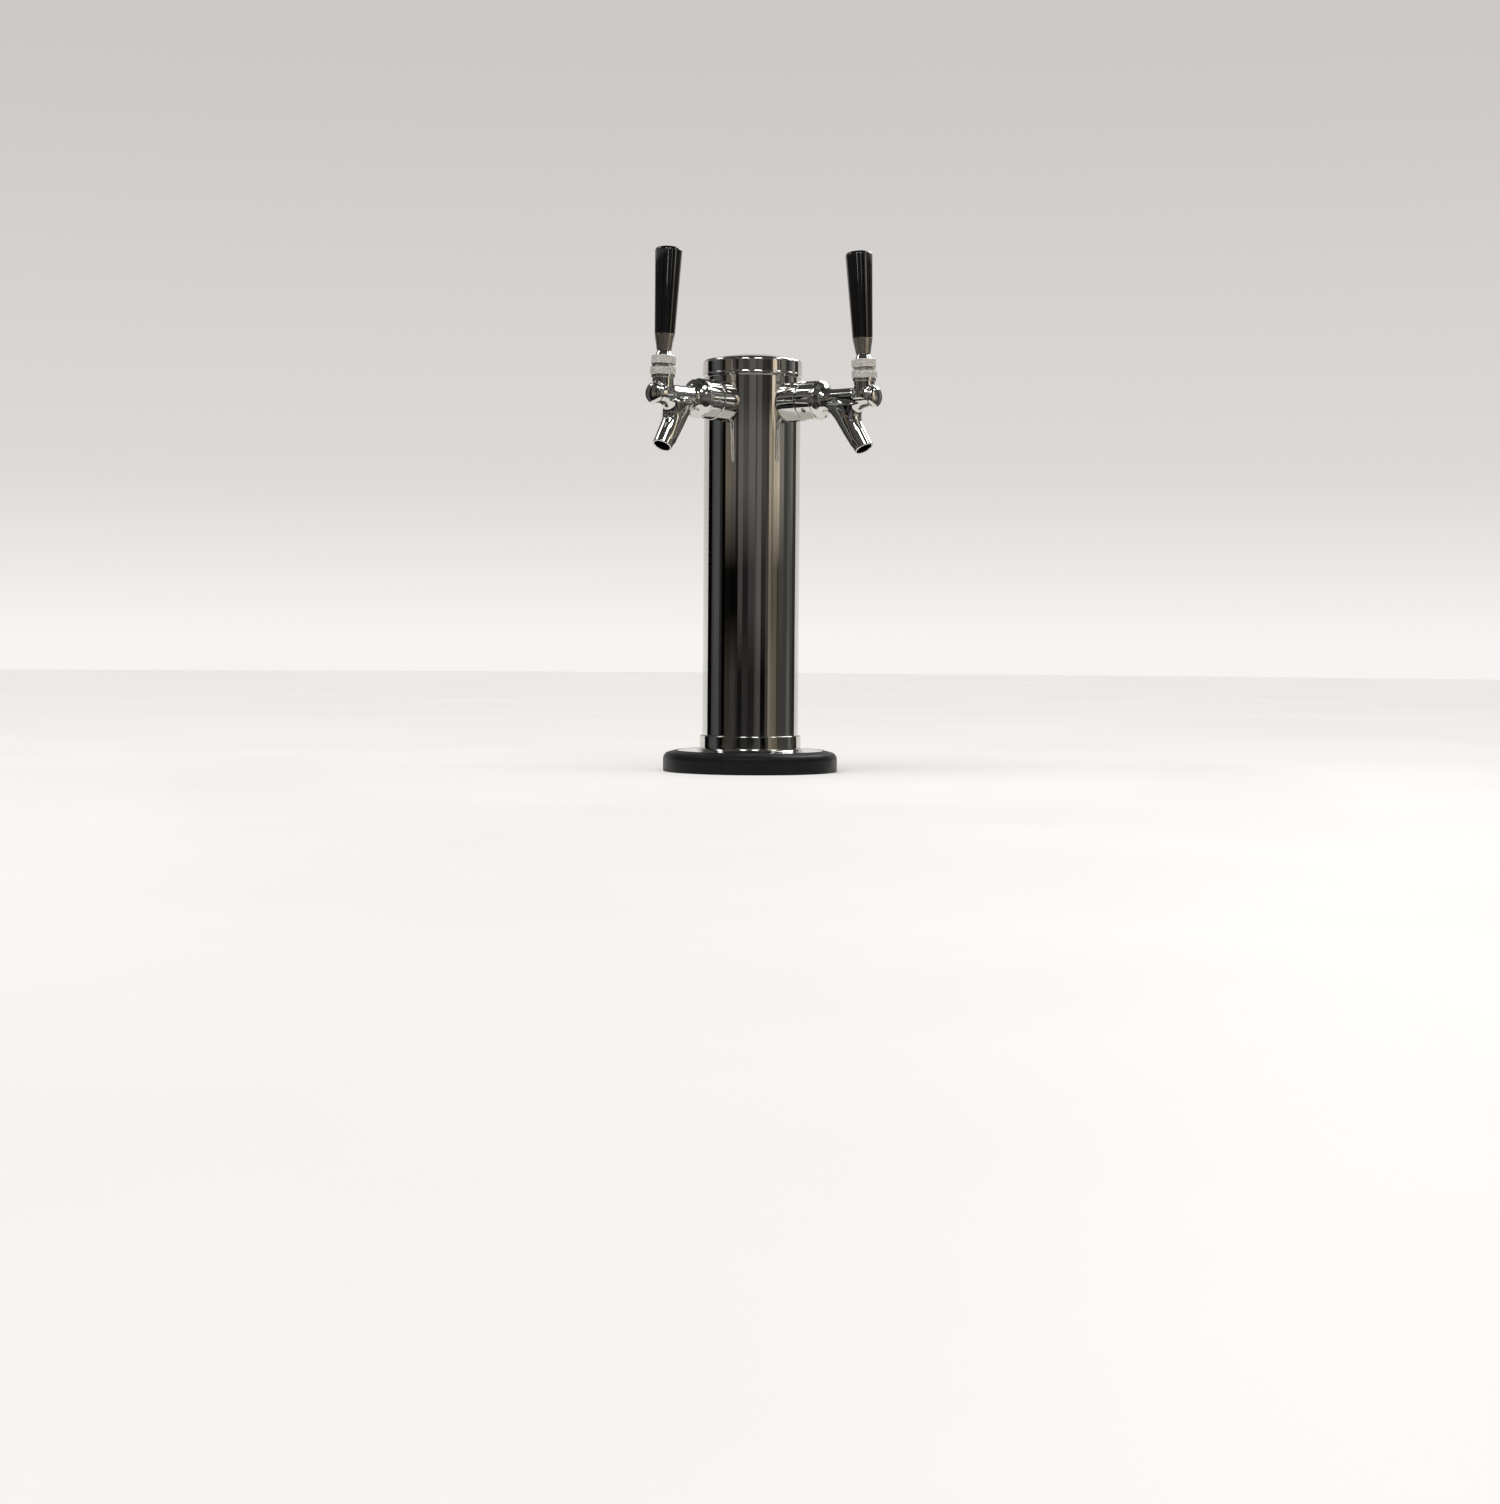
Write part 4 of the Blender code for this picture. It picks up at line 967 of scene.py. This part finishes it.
def dress_carried():
    for side in SIDES:
        for part, material in CARRIED.items():
            mesh = frame["nodes"][f"{side}_{part}"].data
            mesh.materials.clear()
            mesh.materials.append(material)


# ------------------------------------------------------------------ stage
def room_direction(angle):
    """From the column towards the camera, turned by an angle to the camera's right."""
    toward = Vector((math.sin(CAMERA_AZIMUTH), -math.cos(CAMERA_AZIMUTH), 0.0))
    right = Vector((math.cos(CAMERA_AZIMUTH), math.sin(CAMERA_AZIMUTH), 0.0))
    return toward * math.cos(angle) + right * math.sin(angle)


def stage_object(name, mesh, material):
    item = bpy.data.objects.new(name, mesh)
    bpy.context.scene.collection.objects.link(item)
    mesh.materials.append(material)
    return item


def only_reflected(item):
    """Show an object in mirrors and nowhere else."""
    item.visible_camera = False
    item.visible_diffuse = False
    item.visible_shadow = False
    item.visible_transmission = False


def glow(name, strength, from_attribute):
    """Light of its own, plain or in the tones stored on the mesh."""
    made = bpy.data.materials.new(name)
    made.use_nodes = True
    tree = made.node_tree
    tree.nodes.clear()
    emission = tree.nodes.new("ShaderNodeEmission")
    emission.inputs["Strength"].default_value = strength
    output = tree.nodes.new("ShaderNodeOutputMaterial")
    tree.links.new(emission.outputs["Emission"], output.inputs["Surface"])
    if from_attribute:
        tone = tree.nodes.new("ShaderNodeVertexColor")
        tone.layer_name = "tone"
        tree.links.new(tone.outputs["Color"], emission.inputs["Color"])
    return made


def room_mesh():
    """The room in front of the tower that the metal mirrors, as upright panels with their own tones."""
    vertices, faces, tones = [], [], []
    for start, end, tint, *levels in ROOM_PANELS:
        first = len(vertices)
        for angle in (start, end):
            side = room_direction(math.radians(angle))
            for height, level in ROOM_ROWS:
                tone = (levels[level] / 255.0) ** 2.2 / METAL_SHARE
                vertices.append(TOWER_AXIS + side * ROOM_R + Vector((0.0, 0.0, height)))
                tones.append([tone * share for share in TINTS[tint]] + [1.0])
        rows = len(ROOM_ROWS)
        for row in range(rows - 1):
            low = first + row
            faces.append((low, low + rows, low + rows + 1, low + 1))
    mesh = bpy.data.meshes.new("room")
    mesh.from_pydata([tuple(v) for v in vertices], [], faces)
    attribute = mesh.color_attributes.new("tone", "FLOAT_COLOR", "POINT")
    attribute.data.foreach_set("color", np.array(tones).ravel())
    return mesh


def lamp_mesh(azimuth, half_width, radius, heights):
    """An upright panel of light, curved round the tower."""
    steps = 6
    vertices = []
    for step in range(steps + 1):
        side = room_direction(math.radians(azimuth + half_width * (2.0 * step / steps - 1.0)))
        for height in heights:
            vertices.append(tuple(TOWER_AXIS + side * radius + Vector((0.0, 0.0, height))))
    faces = [(2 * step, 2 * step + 2, 2 * step + 3, 2 * step + 1) for step in range(steps)]
    mesh = bpy.data.meshes.new("lamp")
    mesh.from_pydata(vertices, [], faces)
    return mesh


def make_floor():
    bpy.ops.mesh.primitive_circle_add(vertices=96, radius=FLOOR_R, fill_type="NGON")
    floor = bpy.context.object
    floor.name = "floor"
    made, tree, shader = new_material("floor", 0.0, 0.6)
    tree.links.new(colour_ramp(tree, noise(tree, 3.0), (0.84, 0.82, 0.80), (0.87, 0.85, 0.83)),
                   shader.inputs["Base Color"])
    shader.inputs["Specular IOR Level"].default_value = 0.2
    floor.data.materials.append(made)


def make_world():
    """Pale backdrop: lighter down at the floor, a little darker upwards and dim overhead."""
    world = bpy.data.worlds.new("backdrop")
    bpy.context.scene.world = world
    world.use_nodes = True
    tree = world.node_tree
    background = tree.nodes["Background"]
    coordinates = tree.nodes.new("ShaderNodeTexCoord")
    split = tree.nodes.new("ShaderNodeSeparateXYZ")
    ramp = tree.nodes.new("ShaderNodeValToRGB")
    tree.links.new(coordinates.outputs["Generated"], split.inputs["Vector"])
    tree.links.new(spread(tree, split.outputs["Z"], 0.0, 1.0, -1.0, 1.0), ramp.inputs["Fac"])
    tree.links.new(ramp.outputs["Color"], background.inputs["Color"])
    for index, (position, colour) in enumerate(BACKDROP):
        if index < 2:
            element = ramp.color_ramp.elements[index]
            element.position = position
        else:
            element = ramp.color_ramp.elements.new(position)
        element.color = (*colour, 1.0)


def softbox(name, place, size, power):
    data = bpy.data.lights.new(name, "AREA")
    data.shape = "RECTANGLE"
    data.size, data.size_y = size
    data.energy = power
    data.color = (1.0, 0.98, 0.95)
    light = bpy.data.objects.new(name, data)
    light.visible_glossy = False
    bpy.context.scene.collection.objects.link(light)
    light.location = place
    light.rotation_euler = (Vector(SOFTBOX_AIM) - Vector(place)).to_track_quat("-Z", "Y").to_euler()


def make_stage():
    make_floor()
    make_world()
    only_reflected(stage_object("room", room_mesh(), glow("room_panels", 1.0, True)))
    for number, (azimuth, half_width, low, high, strength) in enumerate(LAMPS):
        heights = [LAMP_EYE + LAMP_R * math.tan(math.radians(elevation)) for elevation in (low, high)]
        lamp = lamp_mesh(azimuth, half_width, LAMP_R, heights)
        only_reflected(stage_object(f"lamp_{number}", lamp, glow(f"lamp_{number}", strength, False)))
    for number, (azimuth, half_width, strength) in enumerate(STRIPS):
        strip = lamp_mesh(azimuth, half_width, STRIP_R, STRIP_HEIGHTS)
        only_reflected(stage_object(f"strip_{number}", strip, glow(f"strip_{number}", strength, False)))
    for name, (place, size, power) in zip(("softbox_left", "softbox_right"), SOFTBOXES):
        softbox(name, place, size, power)
    even_light()


def even_light():
    """Soft light from overhead that falls on everything alike and isn't mirrored in the metal."""
    data = bpy.data.lights.new("overhead", "SUN")
    data.energy = SUN_POWER
    data.angle = SUN_SPREAD
    light = bpy.data.objects.new("overhead", data)
    light.visible_glossy = False
    light.rotation_euler = SUN_TURN
    bpy.context.scene.collection.objects.link(light)


def make_camera():
    data = bpy.data.cameras.new("camera")
    data.lens = CAMERA_LENS
    data.sensor_width = CAMERA_SENSOR
    data.clip_end = 50.0
    camera = bpy.data.objects.new("camera", data)
    bpy.context.scene.collection.objects.link(camera)
    back = Vector((math.sin(CAMERA_AZIMUTH), -math.cos(CAMERA_AZIMUTH), 0.0))
    camera.location = TOWER_AXIS + back * CAMERA_DISTANCE + Vector((0.0, 0.0, CAMERA_HEIGHT))
    turn = Matrix.Rotation(CAMERA_AZIMUTH, 4, "Z")
    tilt = Matrix.Rotation(math.pi / 2.0 - CAMERA_PITCH, 4, "X")
    roll = Matrix.Rotation(CAMERA_ROLL, 4, "Z")
    camera.rotation_euler = (turn @ tilt @ roll).to_euler()
    bpy.context.scene.camera = camera


# ------------------------------------------------------------------ build
make_camera()
make_stage()
bpy.context.scene.view_settings.view_transform = "Standard"
make_riser()
make_flange()
make_column()
make_cap()
make_solids()
for name in SIDES:
    make_bonnet(name)
    make_collar(name)
    make_ferrule(name)
    make_grip(name)
    make_lever(name)
dress_carried()
